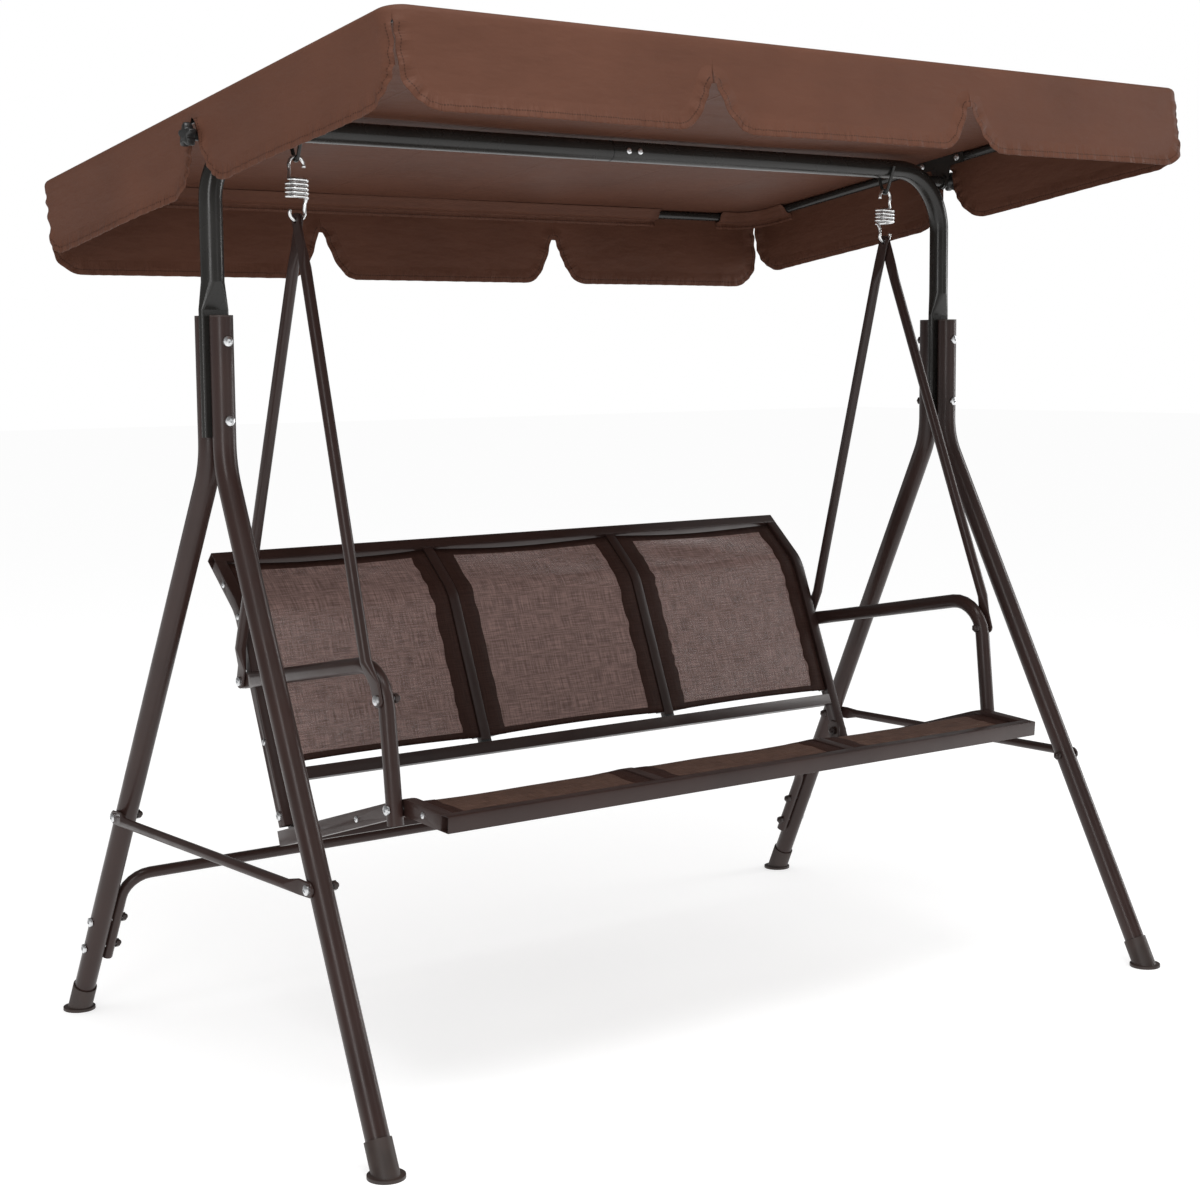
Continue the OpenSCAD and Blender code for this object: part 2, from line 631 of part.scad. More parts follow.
// wire centre of a spring: top hook, closed coil, bottom hook, as points about x = 0
function spring_points() = let (
    top_mid = swing_h - hook_r,
    low_mid = hook_low_h + hook_r,
    coil_top = coil_mid_h + coil_turns * coil_pitch / 2,
    steps = 20 * coil_turns)
    concat(
        [for (a = [195:-15:-15]) [hook_r * cos(a), 0, top_mid + hook_r * sin(a)]],
        [[hook_r * 0.95, 0.6, (top_mid + coil_top) / 2 - 1], [coil_r * 0.95, 2, coil_top + 1.6]],
        [for (i = [1:steps - 1]) let (a = i * 18)
            [coil_r * cos(a), coil_r * sin(a), coil_top - coil_pitch * i / 20]],
        [[-coil_r * 0.95, 2, coil_mid_h * 2 - coil_top - 1.6],
         [-hook_r * 0.95, 0.6, (low_mid + 2 * coil_mid_h - coil_top) / 2 + 1]],
        [for (a = [165:15:375]) [hook_r * cos(a), 0, low_mid + hook_r * sin(a)]]);

module spring(side) color(zinc)
    translate([side * spring_x, 0, 0]) rotate([0, 0, side > 0 ? 0 : 180]) swept(spring_points(), wire_d);

// ---------- hangers and armrests ----------

hanger_top_tongue_l = 42;
hanger_tongue_l = 24;
hanger_taper_l = 34;
hanger_wall = 1.2;

module hanger(side, x_top, x_low, low) color(coat) on_side(side) {
    top = [0, hanger_hole_h];
    way = unit(low - top);
    t = hanger_flat_t;
    w = hanger_flat_w;
    x_mid = x_top + t / 2;
    s_taper = hanger_top_tongue_l + hanger_taper_l;
    from = top + s_taper * way;
    to = low - (hanger_tongue_l + hanger_taper_l) * way;
    a = [x_mid, from.x, from.y];
    b = [x_low + hanger_d / 2, to.x, to.y];
    dir = unit(b - a);
    difference() {
        pressed(concat(
            ear(x_mid, top, way, w, t),
            [[x_mid, top + hanger_top_tongue_l * way, way, w, t],
             [a.x, from, way, hanger_d, hanger_d],
             [b.x, to, way, hanger_d, hanger_d],
             [x_low + t / 2, low - hanger_tongue_l * way, way, w, t]],
            far_ear(x_low + t / 2, low, way, w, t)));
        along_x(x_top - 1, x_top + t + 1, top, hanger_hole_d);
        along_x(x_low - 1, x_low + t + 1, low, bolt_hole_d);
        // hollow between the tapers, with a small drain hole near the lower one
        round_bar(a + 2 * lap * dir, b - 2 * lap * dir, hanger_d - 2 * hanger_wall);
        round_bar(b - 12 * dir - [hanger_d, 0, 0], b - 12 * dir, vent_d);
    }
}

module hanger_front(side) hanger(side, spring_x + touch, front_hanger_x, hanger_bolt);
module hanger_rear(side) hanger(side, spring_x - touch - hanger_flat_t, rear_hanger_x, arm_rear);

arm_tongue_l = 22;
arm_taper_l = 40;

function arm_rings(path, d) = [for (i = [0:len(path) - 1])
    [arm_x, path[i], unit(path[min(i + 1, len(path) - 1)] - path[max(i - 1, 0)]), d, d]];

module armrest(side) color(coat) on_side(side) difference() {
    start = arm_rear + (arm_tongue_l + arm_taper_l) * arm_dir;
    x_flat = arm_flat_x + arm_flat_t / 2;
    pressed(concat(
        ear(x_flat, arm_rear, arm_dir, arm_flat_w, arm_flat_t),
        [[x_flat, arm_rear + arm_tongue_l * arm_dir, arm_dir, arm_flat_w, arm_flat_t]],
        arm_rings(rounded(start, arm_corner, arm_foot, arm_bend_r, 7), arm_d)));
    pressed(arm_rings(rounded(start + 2 * lap * arm_dir, arm_corner,
                              arm_foot + unit(arm_foot - arm_corner), arm_bend_r, 7), arm_d - 2 * arm_wall));
    for (p = [hanger_bolt, arm_post_bolt]) along_x(arm_x - 20, arm_x + 20, p, bolt_hole_d);
    along_x(arm_flat_x - 1, arm_flat_x + arm_flat_t + 1, arm_rear, bolt_hole_d);
}

module arm_bolts() color(zinc) for (side = [LEFT, RIGHT]) {
    facing_x(side, front_hanger_x + hanger_flat_t, hanger_bolt)
        bolt(front_hanger_x + hanger_flat_t - frame_x + nut_h);
    facing_x(side, rear_hanger_x + hanger_flat_t, arm_rear)
        bolt(rear_hanger_x + hanger_flat_t - frame_x + lug_t + nut_h);
    // this one threads into the seat rail's far wall, which keeps the sling's pocket clear
    facing_x(side, frame_x + arm_d, arm_post_bolt) bolt(arm_d + rail_w - 0.5);
}

module inner_nut(side, x, at) translate([side * x, at.x, at.y]) rotate([0, -side * 90, 0]) cap_nut();

module seat_nuts() color(coat) for (side = [LEFT, RIGHT]) {
    inner_nut(side, frame_x, hanger_bolt);
    inner_nut(side, frame_x - lug_t, arm_rear);
    inner_nut(side, inner_x - lug_t, back_bolt_at);
}

module back_bolts() color(zinc) for (side = [LEFT, RIGHT])
    facing_x(side, frame_x, back_bolt_at) bolt(rail_w + lug_t + nut_h);

// ---------- seat and back frame ----------

module rail(x0, x1, path, t) difference() {
    across(x0, x1) polygon(band(path, -t / 2, t / 2));
    across(x0 + rail_wall, x1 - rail_wall)
        polygon(band(longer(path, 1), -t / 2 + rail_wall, t / 2 - rail_wall));
}

// a straight cross rail with a rectangular section that follows the side profile
module cross_rail(half, path, s0, s1, t) difference() {
    across(-half, half) polygon(band(stretch(path, s0, s1), -t / 2, t / 2));
    across(-half - 1, half + 1) polygon(band(stretch(path, s0 + rail_wall, s1 - rail_wall),
                                             -t / 2 + rail_wall, t / 2 - rail_wall));
}

module rail_screw_holes(x0, d) for (side = [LEFT, RIGHT]) on_side(side)
    for (p = concat(seat_screws, back_screws)) along_x(x0, frame_x + 1, p, d);

module seat_side_rail(side) color(coat) difference() {
    on_side(side) {
        rail(inner_x, frame_x, seat_rail_path, seat_rail_t);
        // lug that carries the back, welded to the inside of the rail
        difference() {
            across(inner_x - lug_t, inner_x) polygon([
                [seat_rear - 24, seat_rear_h - 6], [seat_rear - 2, seat_rear_h - 8],
                back_bolt_at + [16, 8], back_bolt_at + [10, 18],
                back_bolt_at + [-10, 18], back_bolt_at + [-13, 4]]);
            along_x(0, 1000, back_bolt_at, bolt_hole_d);
        }
    }
    along_x(-1000, 1000, arm_post_bolt, bolt_hole_d);
    rail_screw_holes(inner_x - 1, screw_hole_d);
}

module back_side_rail(side) color(coat) difference() {
    on_side(side) {
        rail(inner_x, frame_x, stretch(back_path, 0, back_l - back_rail_t), back_rail_t);
        // lug that takes the armrest's and the rear hanger's bolt
        difference() {
            across(frame_x - lug_t, frame_x) translate(arm_rear) rotate(-back_lower_rake)
                polygon([[-11.4, -13], [6, -12], [12, -6], [12, 6], [6, 12], [-11.4, 13]]);
            along_x(frame_x - lug_t - 1, frame_x + 1, arm_rear, bolt_hole_d);
        }
    }
    along_x(-1000, 1000, back_bolt_at, bolt_hole_d);
    rail_screw_holes(inner_x - 1, screw_hole_d);
}

module seat_front_rail() color(coat) cross_rail(frame_x, seat_path, 0, rail_w, seat_rail_t);
module seat_rear_rail() color(coat) cross_rail(inner_x - lug_t, seat_path, total(seat_path) - rail_w,
                                               total(seat_path), seat_rail_t);
module back_top_rail() color(coat) cross_rail(frame_x, back_path, back_l - back_rail_t, back_l, back_rail_t);
module back_bottom_rail() color(coat) cross_rail(inner_x, back_path, back_rail_up - back_rail_t / 2,
                                                 back_rail_up + back_rail_t / 2, back_rail_t);

module seat_bar(side) color(coat) translate([side * bar_x, 0, 0])
    rail(-rail_w / 2, rail_w / 2, stretch(seat_path, rail_w + cap_t, total(seat_path) - rail_w), bar_t);
module back_bar(side) color(coat) translate([side * bar_x, 0, 0])
    rail(-rail_w / 2, rail_w / 2,
         stretch(back_path, back_rail_up + back_rail_t / 2 + cap_t, back_l - back_rail_t), bar_t);

module bar_end_caps() color(black_plastic) for (side = [LEFT, RIGHT]) translate([side * bar_x, 0, 0]) {
    across(-rail_w / 2, rail_w / 2)
        polygon(band(stretch(seat_path, rail_w, rail_w + cap_t), -bar_t / 2, bar_t / 2));
    across(-rail_w / 2, rail_w / 2)
        polygon(band(stretch(back_path, back_rail_up + back_rail_t / 2,
                             back_rail_up + back_rail_t / 2 + cap_t), -bar_t / 2, bar_t / 2));
}

// ---------- slings ----------

module panel(middle, path) color(sling_cloth) difference() {
    x0 = middle - panel_w / 2 + touch;
    x1 = middle + panel_w / 2 - touch;
    union() {
        across(x0, x1) polygon(band(path, sheet_low, sheet_high));
        for (x = [x0, x1 - pocket_w]) difference() {
            across(x, x + pocket_w) polygon(band(path, -pocket_t / 2, pocket_t / 2));
            across(x + fabric_t, x + pocket_w - fabric_t)
                polygon(band(longer(path, 1), -sling_rod_t / 2 - pocket_gap, sling_rod_t / 2 + pocket_gap));
        }
    }
    rail_screw_holes(inner_x - 8, screw_hole_d);
}

module rods_of(path) for (middle = panel_mid, s = [-1, 1]) {
    x = middle + s * (panel_w / 2 - touch - fabric_t - pocket_gap - sling_rod_w / 2);
    across(x - sling_rod_w / 2, x + sling_rod_w / 2)
        polygon(band(path, -sling_rod_t / 2, sling_rod_t / 2));
}

module sling_rods() color(zinc) difference() {
    union() {
        rods_of(seat_sling);
        rods_of(back_sling);
    }
    rail_screw_holes(inner_x - 8, screw_d + 2 * thread_gap);
}

module rail_screws() color(zinc) for (side = [LEFT, RIGHT], p = concat(seat_screws, back_screws))
    facing_x(side, frame_x, p) bolt(rail_w + 7, screw_d, screw_head_d, screw_head_h);

// ---------- canopy ----------

module tilted() translate([0, 0, pivot_h]) rotate([-canopy_tilt, 0, 0]) children();

module hoop(y_bar, y_end) {
    bent_tube([[-hoop_x, y_end, hoop_rise], [-hoop_x, y_bar, hoop_rise],
               [hoop_x, y_bar, hoop_rise], [hoop_x, y_end, hoop_rise]], hoop_bend_r, hoop_d, 1);
}

canopy_bolt_y = [-45, 45];
module canopy_bolt_holes(d) for (y = canopy_bolt_y)
    along_x(-hoop_x, hoop_x, [y, hoop_rise], d);

module canopy_hoop_front() color(coat) tilted() difference() {
    hoop(hoop_front, -hoop_gap / 2);
    canopy_bolt_holes(6.3);
}
module canopy_hoop_rear() color(coat) tilted() difference() {
    hoop(hoop_back, hoop_gap / 2);
    canopy_bolt_holes(6.3);
}

// the plate that joins both hoops and turns on the pivot bolt
module tilt_plate(side) color(coat) on_side(side) tilted() {
    across(plate_x, plate_x + plate_t) difference() {
        union() {
            polygon([[-60, hoop_rise - 11], [-25, hoop_rise - 11], [-15, 0], [15, 0],
                     [25, hoop_rise - 11], [60, hoop_rise - 11],
                     [60, hoop_rise + hoop_r], [-60, hoop_rise + hoop_r]]);
            circle(d = 30);
        }
        circle(d = pivot_bore_d);
        for (y = canopy_bolt_y) translate([y, hoop_rise]) circle(d = 6.3);
    }
}

module canopy_bolts() color(zinc) tilted() for (side = [LEFT, RIGHT], y = canopy_bolt_y)
    translate([side * plate_x, y, hoop_rise]) rotate([0, -side * 90, 0]) bolt(plate_t + hoop_r, 6, 12, 3.5);

// one valance seen flat: a band along the top and scalloped tabs below it, u along, v down from 0
module valance_outline(length, tabs) {
    tab = length / tabs;
    union() {
        translate([0, -band_h]) square([length, band_h]);
        for (i = [0:tabs - 1]) {
            a = i * tab + (i == 0 ? 0 : slit_w / 2);
            b = (i + 1) * tab - (i == tabs - 1 ? 0 : slit_w / 2);
            translate([a + scallop_r, -valance_drop]) square([b - a - 2 * scallop_r, valance_drop]);
            translate([a, -valance_drop + scallop_r]) square([b - a, valance_drop - scallop_r]);
            for (u = [a + scallop_r, b - scallop_r]) translate([u, -valance_drop + scallop_r]) circle(r = scallop_r);
        }
    }
}

module canopy_cover() color(canopy_cloth) tilted() {
    top = cover_h + canopy_t;
    x1 = cover_x + canopy_t;
    y0 = cover_front - canopy_t;
    y1 = cover_back + canopy_t;
    translate([-x1, y0, cover_h]) cube([2 * x1, y1 - y0, canopy_t]);
    for (y = [cover_front, y1]) translate([-x1, y, top]) rotate([90, 0, 0])
        linear_extrude(canopy_t) valance_outline(2 * x1, 3);
    for (side = [LEFT, RIGHT]) on_side(side) difference() {
        translate([cover_x, y0, top]) rotate([90, 0, 90]) linear_extrude(canopy_t)
            valance_outline(y1 - y0, 2);
        translate([cover_x - 1, -side_slot_w / 2, -valance_drop]) cube([canopy_t + 2, side_slot_w, valance_drop + 27]);
    }
}

// a five-lobed knob on a short hub
module knob(side) color(black_plastic) on_side(side) translate([0, 0, pivot_h]) difference() {
    lobe_r = knob_d * 0.17;
    union() {
        along_x(plate_x + plate_t + touch / 2, knob_x + 1, [0, 0], knob_hub_d);
        across(knob_x, knob_x + knob_t) {
            circle(r = knob_d * 0.36);
            for (i = [0:4]) rotate(72 * i + 18) translate([knob_d / 2 - lobe_r, 0]) circle(r = lobe_r);
        }
    }
    along_x(plate_x, knob_x + knob_t - 3, [0, 0], pivot_bore_d);
}

// ---------- nodes ----------

leg(LEFT, FRONT);  // leg_front_left
leg(RIGHT, FRONT);  // leg_front_right
leg(LEFT, REAR);  // leg_rear_left
leg(RIGHT, REAR);  // leg_rear_right
feet();
leg_top_caps();
top_bar_left();
top_bar_right();
top_bar_screws();
spring_eyes();
tilt_bracket(LEFT);  // tilt_bracket_left
tilt_bracket(RIGHT);  // tilt_bracket_right
tilt_bolts();
side_brace(LEFT);  // side_brace_left
side_brace(RIGHT);  // side_brace_right
rear_stretcher();
leg_bolts();
brace_bolts();
stretcher_bolts();
stand_nuts();
spring(LEFT);  // spring_left
spring(RIGHT);  // spring_right
hanger_front(LEFT);  // hanger_front_left
hanger_front(RIGHT);  // hanger_front_right
hanger_rear(LEFT);  // hanger_rear_left
hanger_rear(RIGHT);  // hanger_rear_right
armrest(LEFT);  // armrest_left
armrest(RIGHT);  // armrest_right
arm_bolts();
seat_nuts();
seat_front_rail();
seat_rear_rail();
seat_side_rail(LEFT);  // seat_side_rail_left
seat_side_rail(RIGHT);  // seat_side_rail_right
seat_bar(LEFT);  // seat_bar_left
seat_bar(RIGHT);  // seat_bar_right
panel(panel_mid[0], seat_sling);  // seat_panel_left
panel(panel_mid[1], seat_sling);  // seat_panel_middle
panel(panel_mid[2], seat_sling);  // seat_panel_right
back_top_rail();
back_bottom_rail();
back_side_rail(LEFT);  // back_side_rail_left
back_side_rail(RIGHT);  // back_side_rail_right
back_bar(LEFT);  // back_bar_left
back_bar(RIGHT);  // back_bar_right
panel(panel_mid[0], back_sling);  // back_panel_left
panel(panel_mid[1], back_sling);  // back_panel_middle
panel(panel_mid[2], back_sling);  // back_panel_right
rail_screws();
back_bolts();
sling_rods();
bar_end_caps();
canopy_hoop_front();
canopy_hoop_rear();
tilt_plate(LEFT);  // tilt_plate_left
tilt_plate(RIGHT);  // tilt_plate_right
canopy_bolts();
canopy_cover();
knob(LEFT);  // knob_left
knob(RIGHT);  // knob_right
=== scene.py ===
# Garden swing for three with a tilting canopy: a bent tube stand, a sling seat hung
# from two coil springs, and a cloth cover on a light tube frame.
# Metres throughout: +X to the right, +Y to the back, +Z up, floor at zero.
from math import cos, pi, radians, sin, sqrt, tan

import bpy
import numpy as np
from mathutils import Matrix, Vector


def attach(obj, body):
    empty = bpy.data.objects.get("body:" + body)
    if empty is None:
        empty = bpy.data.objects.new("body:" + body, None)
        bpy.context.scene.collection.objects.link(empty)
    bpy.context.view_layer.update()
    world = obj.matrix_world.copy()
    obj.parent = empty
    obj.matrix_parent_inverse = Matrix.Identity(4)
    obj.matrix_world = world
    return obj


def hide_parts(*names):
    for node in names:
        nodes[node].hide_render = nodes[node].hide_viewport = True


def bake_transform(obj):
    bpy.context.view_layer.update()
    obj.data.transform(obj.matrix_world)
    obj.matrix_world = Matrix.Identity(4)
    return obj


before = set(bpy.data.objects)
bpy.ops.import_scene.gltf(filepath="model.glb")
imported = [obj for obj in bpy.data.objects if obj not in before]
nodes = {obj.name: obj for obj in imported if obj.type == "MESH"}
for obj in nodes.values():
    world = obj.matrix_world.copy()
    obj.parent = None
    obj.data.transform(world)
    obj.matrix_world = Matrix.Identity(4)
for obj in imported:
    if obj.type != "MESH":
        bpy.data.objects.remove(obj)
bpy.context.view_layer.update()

# ---------------------------------------------------------------- camera
# A person's view from the front and a little to the left, at chest height,
# with the whole swing in a square picture.
camera_data = bpy.data.cameras.new("camera")
camera_data.lens = 64.7
camera_data.sensor_width = 36
camera = bpy.data.objects.new("camera", camera_data)
bpy.context.scene.collection.objects.link(camera)
yaw, pitch, roll = -0.6579, 0.1126, -0.0079
ahead = Vector((-sin(yaw) * cos(pitch), cos(yaw) * cos(pitch), -sin(pitch)))
level_right = Vector((cos(yaw), sin(yaw), 0))
level_up = level_right.cross(ahead)
camera_right = cos(roll) * level_right + sin(roll) * level_up
camera_up = -sin(roll) * level_right + cos(roll) * level_up
camera_place = (-2.299, -2.907, 1.106)
camera.matrix_world = Matrix.Translation(camera_place) @ Matrix(
    (camera_right, camera_up, -ahead)).transposed().to_4x4()
bpy.context.scene.camera = camera

# ---------------------------------------------------------------- floor and light
# A smooth white floor in a wide soft studio: a bright dome all round that glossy
# tubes see darker, tall soft boxes at the left, front and right, and one overhead.
reach = 30
floor_mesh = bpy.data.meshes.new("floor")
floor_mesh.from_pydata([(-reach, -reach, 0), (reach, -reach, 0), (reach, reach, 0), (-reach, reach, 0)],
                       [], [(0, 1, 2, 3)])
floor = bpy.data.objects.new("floor", floor_mesh)
bpy.context.scene.collection.objects.link(floor)
floor_paint = bpy.data.materials.new("floor_paint")
floor_paint.use_nodes = True
floor_shader = floor_paint.node_tree.nodes["Principled BSDF"]
floor_shader.inputs["Base Color"].default_value = (0.55, 0.55, 0.55, 1)
floor_shader.inputs["Roughness"].default_value = 0.6
floor_shader.inputs["Specular IOR Level"].default_value = 0.0
floor_shader.inputs["Emission Color"].default_value = (1, 1, 1, 1)
floor_shader.inputs["Emission Strength"].default_value = 0.60
floor_mesh.materials.append(floor_paint)

bpy.context.scene.view_settings.view_transform = "Standard"
world = bpy.data.worlds.new("studio")
world.use_nodes = True
dome = world.node_tree.nodes["Background"]
dome.inputs["Color"].default_value = (1, 1, 1, 1)
ray = world.node_tree.nodes.new("ShaderNodeLightPath")
gloss = world.node_tree.nodes.new("ShaderNodeMapRange")
gloss.inputs["To Min"].default_value = 0.68
gloss.inputs["To Max"].default_value = 0.18
seen = world.node_tree.nodes.new("ShaderNodeMath")
seen.operation = "MAXIMUM"
world.node_tree.links.new(ray.outputs["Is Glossy Ray"], gloss.inputs["Value"])
world.node_tree.links.new(gloss.outputs["Result"], seen.inputs[0])
world.node_tree.links.new(ray.outputs["Is Camera Ray"], seen.inputs[1])
world.node_tree.links.new(seen.outputs[0], dome.inputs["Strength"])
bpy.context.scene.world = world

lamps_aim = Vector((0, 0, 0.9))
for name, place, wide, high, power in (("key", (-3.4, -2.6, 1.9), 0.9, 2.6, 38),
                                       ("fill", (1.2, -4.2, 1.8), 0.9, 2.6, 6),
                                       ("top", (-0.6, -1.2, 3.6), 2.4, 1.2, 60),
                                       ("side", (3.8, -0.8, 1.6), 0.8, 2.4, 35)):
    lamp = bpy.data.lights.new(name, "AREA")
    lamp.shape = "RECTANGLE"
    lamp.size, lamp.size_y = wide, high
    lamp.energy = power
    lamp_object = bpy.data.objects.new(name, lamp)
    lamp_object.location = place
    lamp_object.rotation_euler = (lamps_aim - Vector(place)).to_track_quat("-Z", "Y").to_euler()
    bpy.context.scene.collection.objects.link(lamp_object)


# ---------------------------------------------------------------- legs, braces and stretcher
# Drawn steel tube, bent, punched and flattened at the ends, then powder coated dark
# brown all over. The coat is satin, with a faint orange peel.
def new_finish(name):
    material = bpy.data.materials.new(name)
    material.use_nodes = True
    tree = material.node_tree
    return material, tree, tree.nodes["Principled BSDF"]


def join(tree, source, target):
    tree.links.new(source, target)


def noise(tree, place, scale, detail=3.0, stretch=None):
    """Noise over a place socket, which stretch scales along its axes first."""
    if stretch:
        mapping = tree.nodes.new("ShaderNodeMapping")
        mapping.inputs["Scale"].default_value = stretch
        join(tree, place, mapping.inputs["Vector"])
        place = mapping.outputs["Vector"]
    cloud = tree.nodes.new("ShaderNodeTexNoise")
    cloud.inputs["Scale"].default_value = scale
    cloud.inputs["Detail"].default_value = detail
    join(tree, place, cloud.inputs["Vector"])
    return cloud.outputs["Fac"]


def ramp(tree, value, low, high, start=0.3, end=0.7):
    """Turns a value from start to end into a colour or number from low to high."""
    node = tree.nodes.new("ShaderNodeMapRange")
    node.inputs["From Min"].default_value = start
    node.inputs["From Max"].default_value = end
    join(tree, value, node.inputs["Value"])
    if isinstance(low, (int, float)):
        node.inputs["To Min"].default_value = low
        node.inputs["To Max"].default_value = high
        return node.outputs["Result"]
    mix = tree.nodes.new("ShaderNodeMix")
    mix.data_type = "RGBA"
    join(tree, node.outputs["Result"], mix.inputs[0])
    mix.inputs[6].default_value = (*low, 1)
    mix.inputs[7].default_value = (*high, 1)
    return mix.outputs[2]


def bump(tree, heights, shader):
    """Adds one bump per (height socket, depth in metres) to a shader."""
    below = None
    for height, depth in heights:
        node = tree.nodes.new("ShaderNodeBump")
        node.inputs["Strength"].default_value = 1.0
        node.inputs["Distance"].default_value = depth
        join(tree, height, node.inputs["Height"])
        if below:
            join(tree, below, node.inputs["Normal"])
        below = node.outputs["Normal"]
    join(tree, below, shader.inputs["Normal"])


def powder_coat(name, colour, gloss):
    material, tree, shader = new_finish(name)
    place = tree.nodes.new("ShaderNodeTexCoord").outputs["Object"]
    dark = tuple(0.86 * c for c in colour)
    light = tuple(1.16 * c for c in colour)
    join(tree, ramp(tree, noise(tree, place, 7), dark, light), shader.inputs["Base Color"])
    join(tree, ramp(tree, noise(tree, place, 22), gloss - 0.05, gloss + 0.07), shader.inputs["Roughness"])
    shader.inputs["Specular IOR Level"].default_value = 0.34
    shader.inputs["Coat Weight"].default_value = 0.06
    shader.inputs["Coat Roughness"].default_value = 0.14
    bump(tree, [(noise(tree, place, 420), 0.00006), (noise(tree, place, 1500), 0.00002)], shader)
    return material


def soft_edges(name, crisp):
    """Shades a CAD mesh's faces as smooth runs, and keeps edges over the crisp angle sharp."""
    group = bpy.data.node_groups.new(name, "GeometryNodeTree")
    for way in ("INPUT", "OUTPUT"):
        group.interface.new_socket("Geometry", in_out=way, socket_type="NodeSocketGeometry")
    start, end = group.nodes.new("NodeGroupInput"), group.nodes.new("NodeGroupOutput")
    faces = group.nodes.new("GeometryNodeSetShadeSmooth")
    edges = group.nodes.new("GeometryNodeSetShadeSmooth")
    edges.domain = "EDGE"
    edges.inputs["Shade Smooth"].default_value = False
    angle = group.nodes.new("GeometryNodeInputMeshEdgeAngle")
    sharp = group.nodes.new("FunctionNodeCompare")
    sharp.inputs[1].default_value = crisp
    forget = group.nodes.new("GeometryNodeRemoveAttribute")
    forget.inputs["Name"].default_value = "custom_normal"
    join(group, start.outputs[0], forget.inputs["Geometry"])
    join(group, forget.outputs["Geometry"], faces.inputs["Geometry"])
    join(group, faces.outputs["Geometry"], edges.inputs["Geometry"])
    join(group, angle.outputs["Unsigned Angle"], sharp.inputs[0])
    join(group, sharp.outputs["Result"], edges.inputs["Selection"])
    join(group, edges.outputs["Geometry"], end.inputs[0])
    return group


smooth_runs = soft_edges("smooth_runs", 0.62)


def coat(names, material, rounding=0.0, segments=2, runs=smooth_runs):
    """Gives CAD nodes a finish, and rounds their sharp edges if asked."""
    for name in names.split():
        piece = nodes[name]
        piece.data.materials.clear()
        piece.data.materials.append(material)
        weld = piece.modifiers.new("weld", "WELD")
        weld.merge_threshold = 1e-5
        if rounding:
            edge = piece.modifiers.new("rounded", "BEVEL")
            edge.width = rounding
            edge.segments = segments
            edge.limit_method = "ANGLE"
            edge.angle_limit = radians(40)
            edge.harden_normals = False
        piece.modifiers.new("smooth_runs", "NODES").node_group = runs


brown_coat = powder_coat("brown_coat", (0.030, 0.0155, 0.0130), 0.33)
coat("leg_front_left leg_front_right leg_rear_left leg_rear_right "
     "side_brace_left side_brace_right rear_stretcher", brown_coat)

# ---------------------------------------------------------------- feet and leg caps
# Dark brown moulded polypropylene: a sleeve with a round flange under each leg, and
# a thin cap on each leg's top. Slightly dusty, with a fine moulded grain.
def moulded(name, colour, gloss):
    material, tree, shader = new_finish(name)
    place = tree.nodes.new("ShaderNodeTexCoord").outputs["Object"]
    light = tuple(1.5 * c for c in colour)
    join(tree, ramp(tree, noise(tree, place, 30), colour, light), shader.inputs["Base Color"])
    join(tree, ramp(tree, noise(tree, place, 60), gloss - 0.06, gloss + 0.06), shader.inputs["Roughness"])
    bump(tree, [(noise(tree, place, 900), 0.00008)], shader)
    return material


coat("feet leg_top_caps", moulded("brown_plastic", (0.026, 0.016, 0.013), 0.5), 0.0008)

# ---------------------------------------------------------------- top bar and its brackets
# Two bent halves of the same tube, joined by a spigot a little left of the middle and
# coated darker and greyer than the legs, with the spring eyes and tilt stubs welded on.
grey_coat = powder_coat("grey_coat", (0.019, 0.018, 0.0165), 0.24)
coat("top_bar_left top_bar_right", grey_coat, runs=soft_edges("pressed_runs", 1.05))
coat("spring_eyes tilt_bracket_left tilt_bracket_right", grey_coat)

bar_h = 1.449
seam_sides = 48
# the painted shadow in the joint: a dark ring round the tube where the two halves meet, as rings of (x,
# radius)
seam_rings = ((-0.0280, 0.0172), (-0.0278, 0.0178), (-0.0262, 0.0178), (-0.0260, 0.0172))


def ring_faces(rings, sides):
    """Faces of a tube whose points are given ring by ring."""
    faces = []
    for i in range(rings - 1):
        for k in range(sides):
            m = (k + 1) % sides
            faces.append((i * sides + k, i * sides + m, (i + 1) * sides + m, (i + 1) * sides + k))
    return faces


seam_turns = [2 * pi * k / seam_sides for k in range(seam_sides)]
seam_verts = [(x, r * cos(a), bar_h + r * sin(a)) for x, r in seam_rings for a in seam_turns]
seam_mesh = bpy.data.meshes.new("bar_seam_shadow")
seam_mesh.from_pydata(seam_verts, [], ring_faces(len(seam_rings), seam_sides))
seam_mesh.materials.append(powder_coat("seam_shadow", (0.004, 0.004, 0.004), 0.5))
bar_seam_shadow = bpy.data.objects.new("bar_seam_shadow", seam_mesh)
bpy.context.scene.collection.objects.link(bar_seam_shadow)
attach(bar_seam_shadow, "stand")

# ---------------------------------------------------------------- bolts, screws and nuts
# M8 bolts and small screws, bright zinc plated. The domed cap nuts on their inner
# ends are coated like the frame.
def zinc_plate(name, colour, gloss):
    material, tree, shader = new_finish(name)
    place = tree.nodes.new("ShaderNodeTexCoord").outputs["Object"]
    dark = tuple(0.82 * c for c in colour)
    join(tree, ramp(tree, noise(tree, place, 160), dark, colour), shader.inputs["Base Color"])
    join(tree, ramp(tree, noise(tree, place, 90), gloss, gloss + 0.14), shader.inputs["Roughness"])
    shader.inputs["Metallic"].default_value = 1.0
    bump(tree, [(noise(tree, place, 700), 0.00003)], shader)
    return material


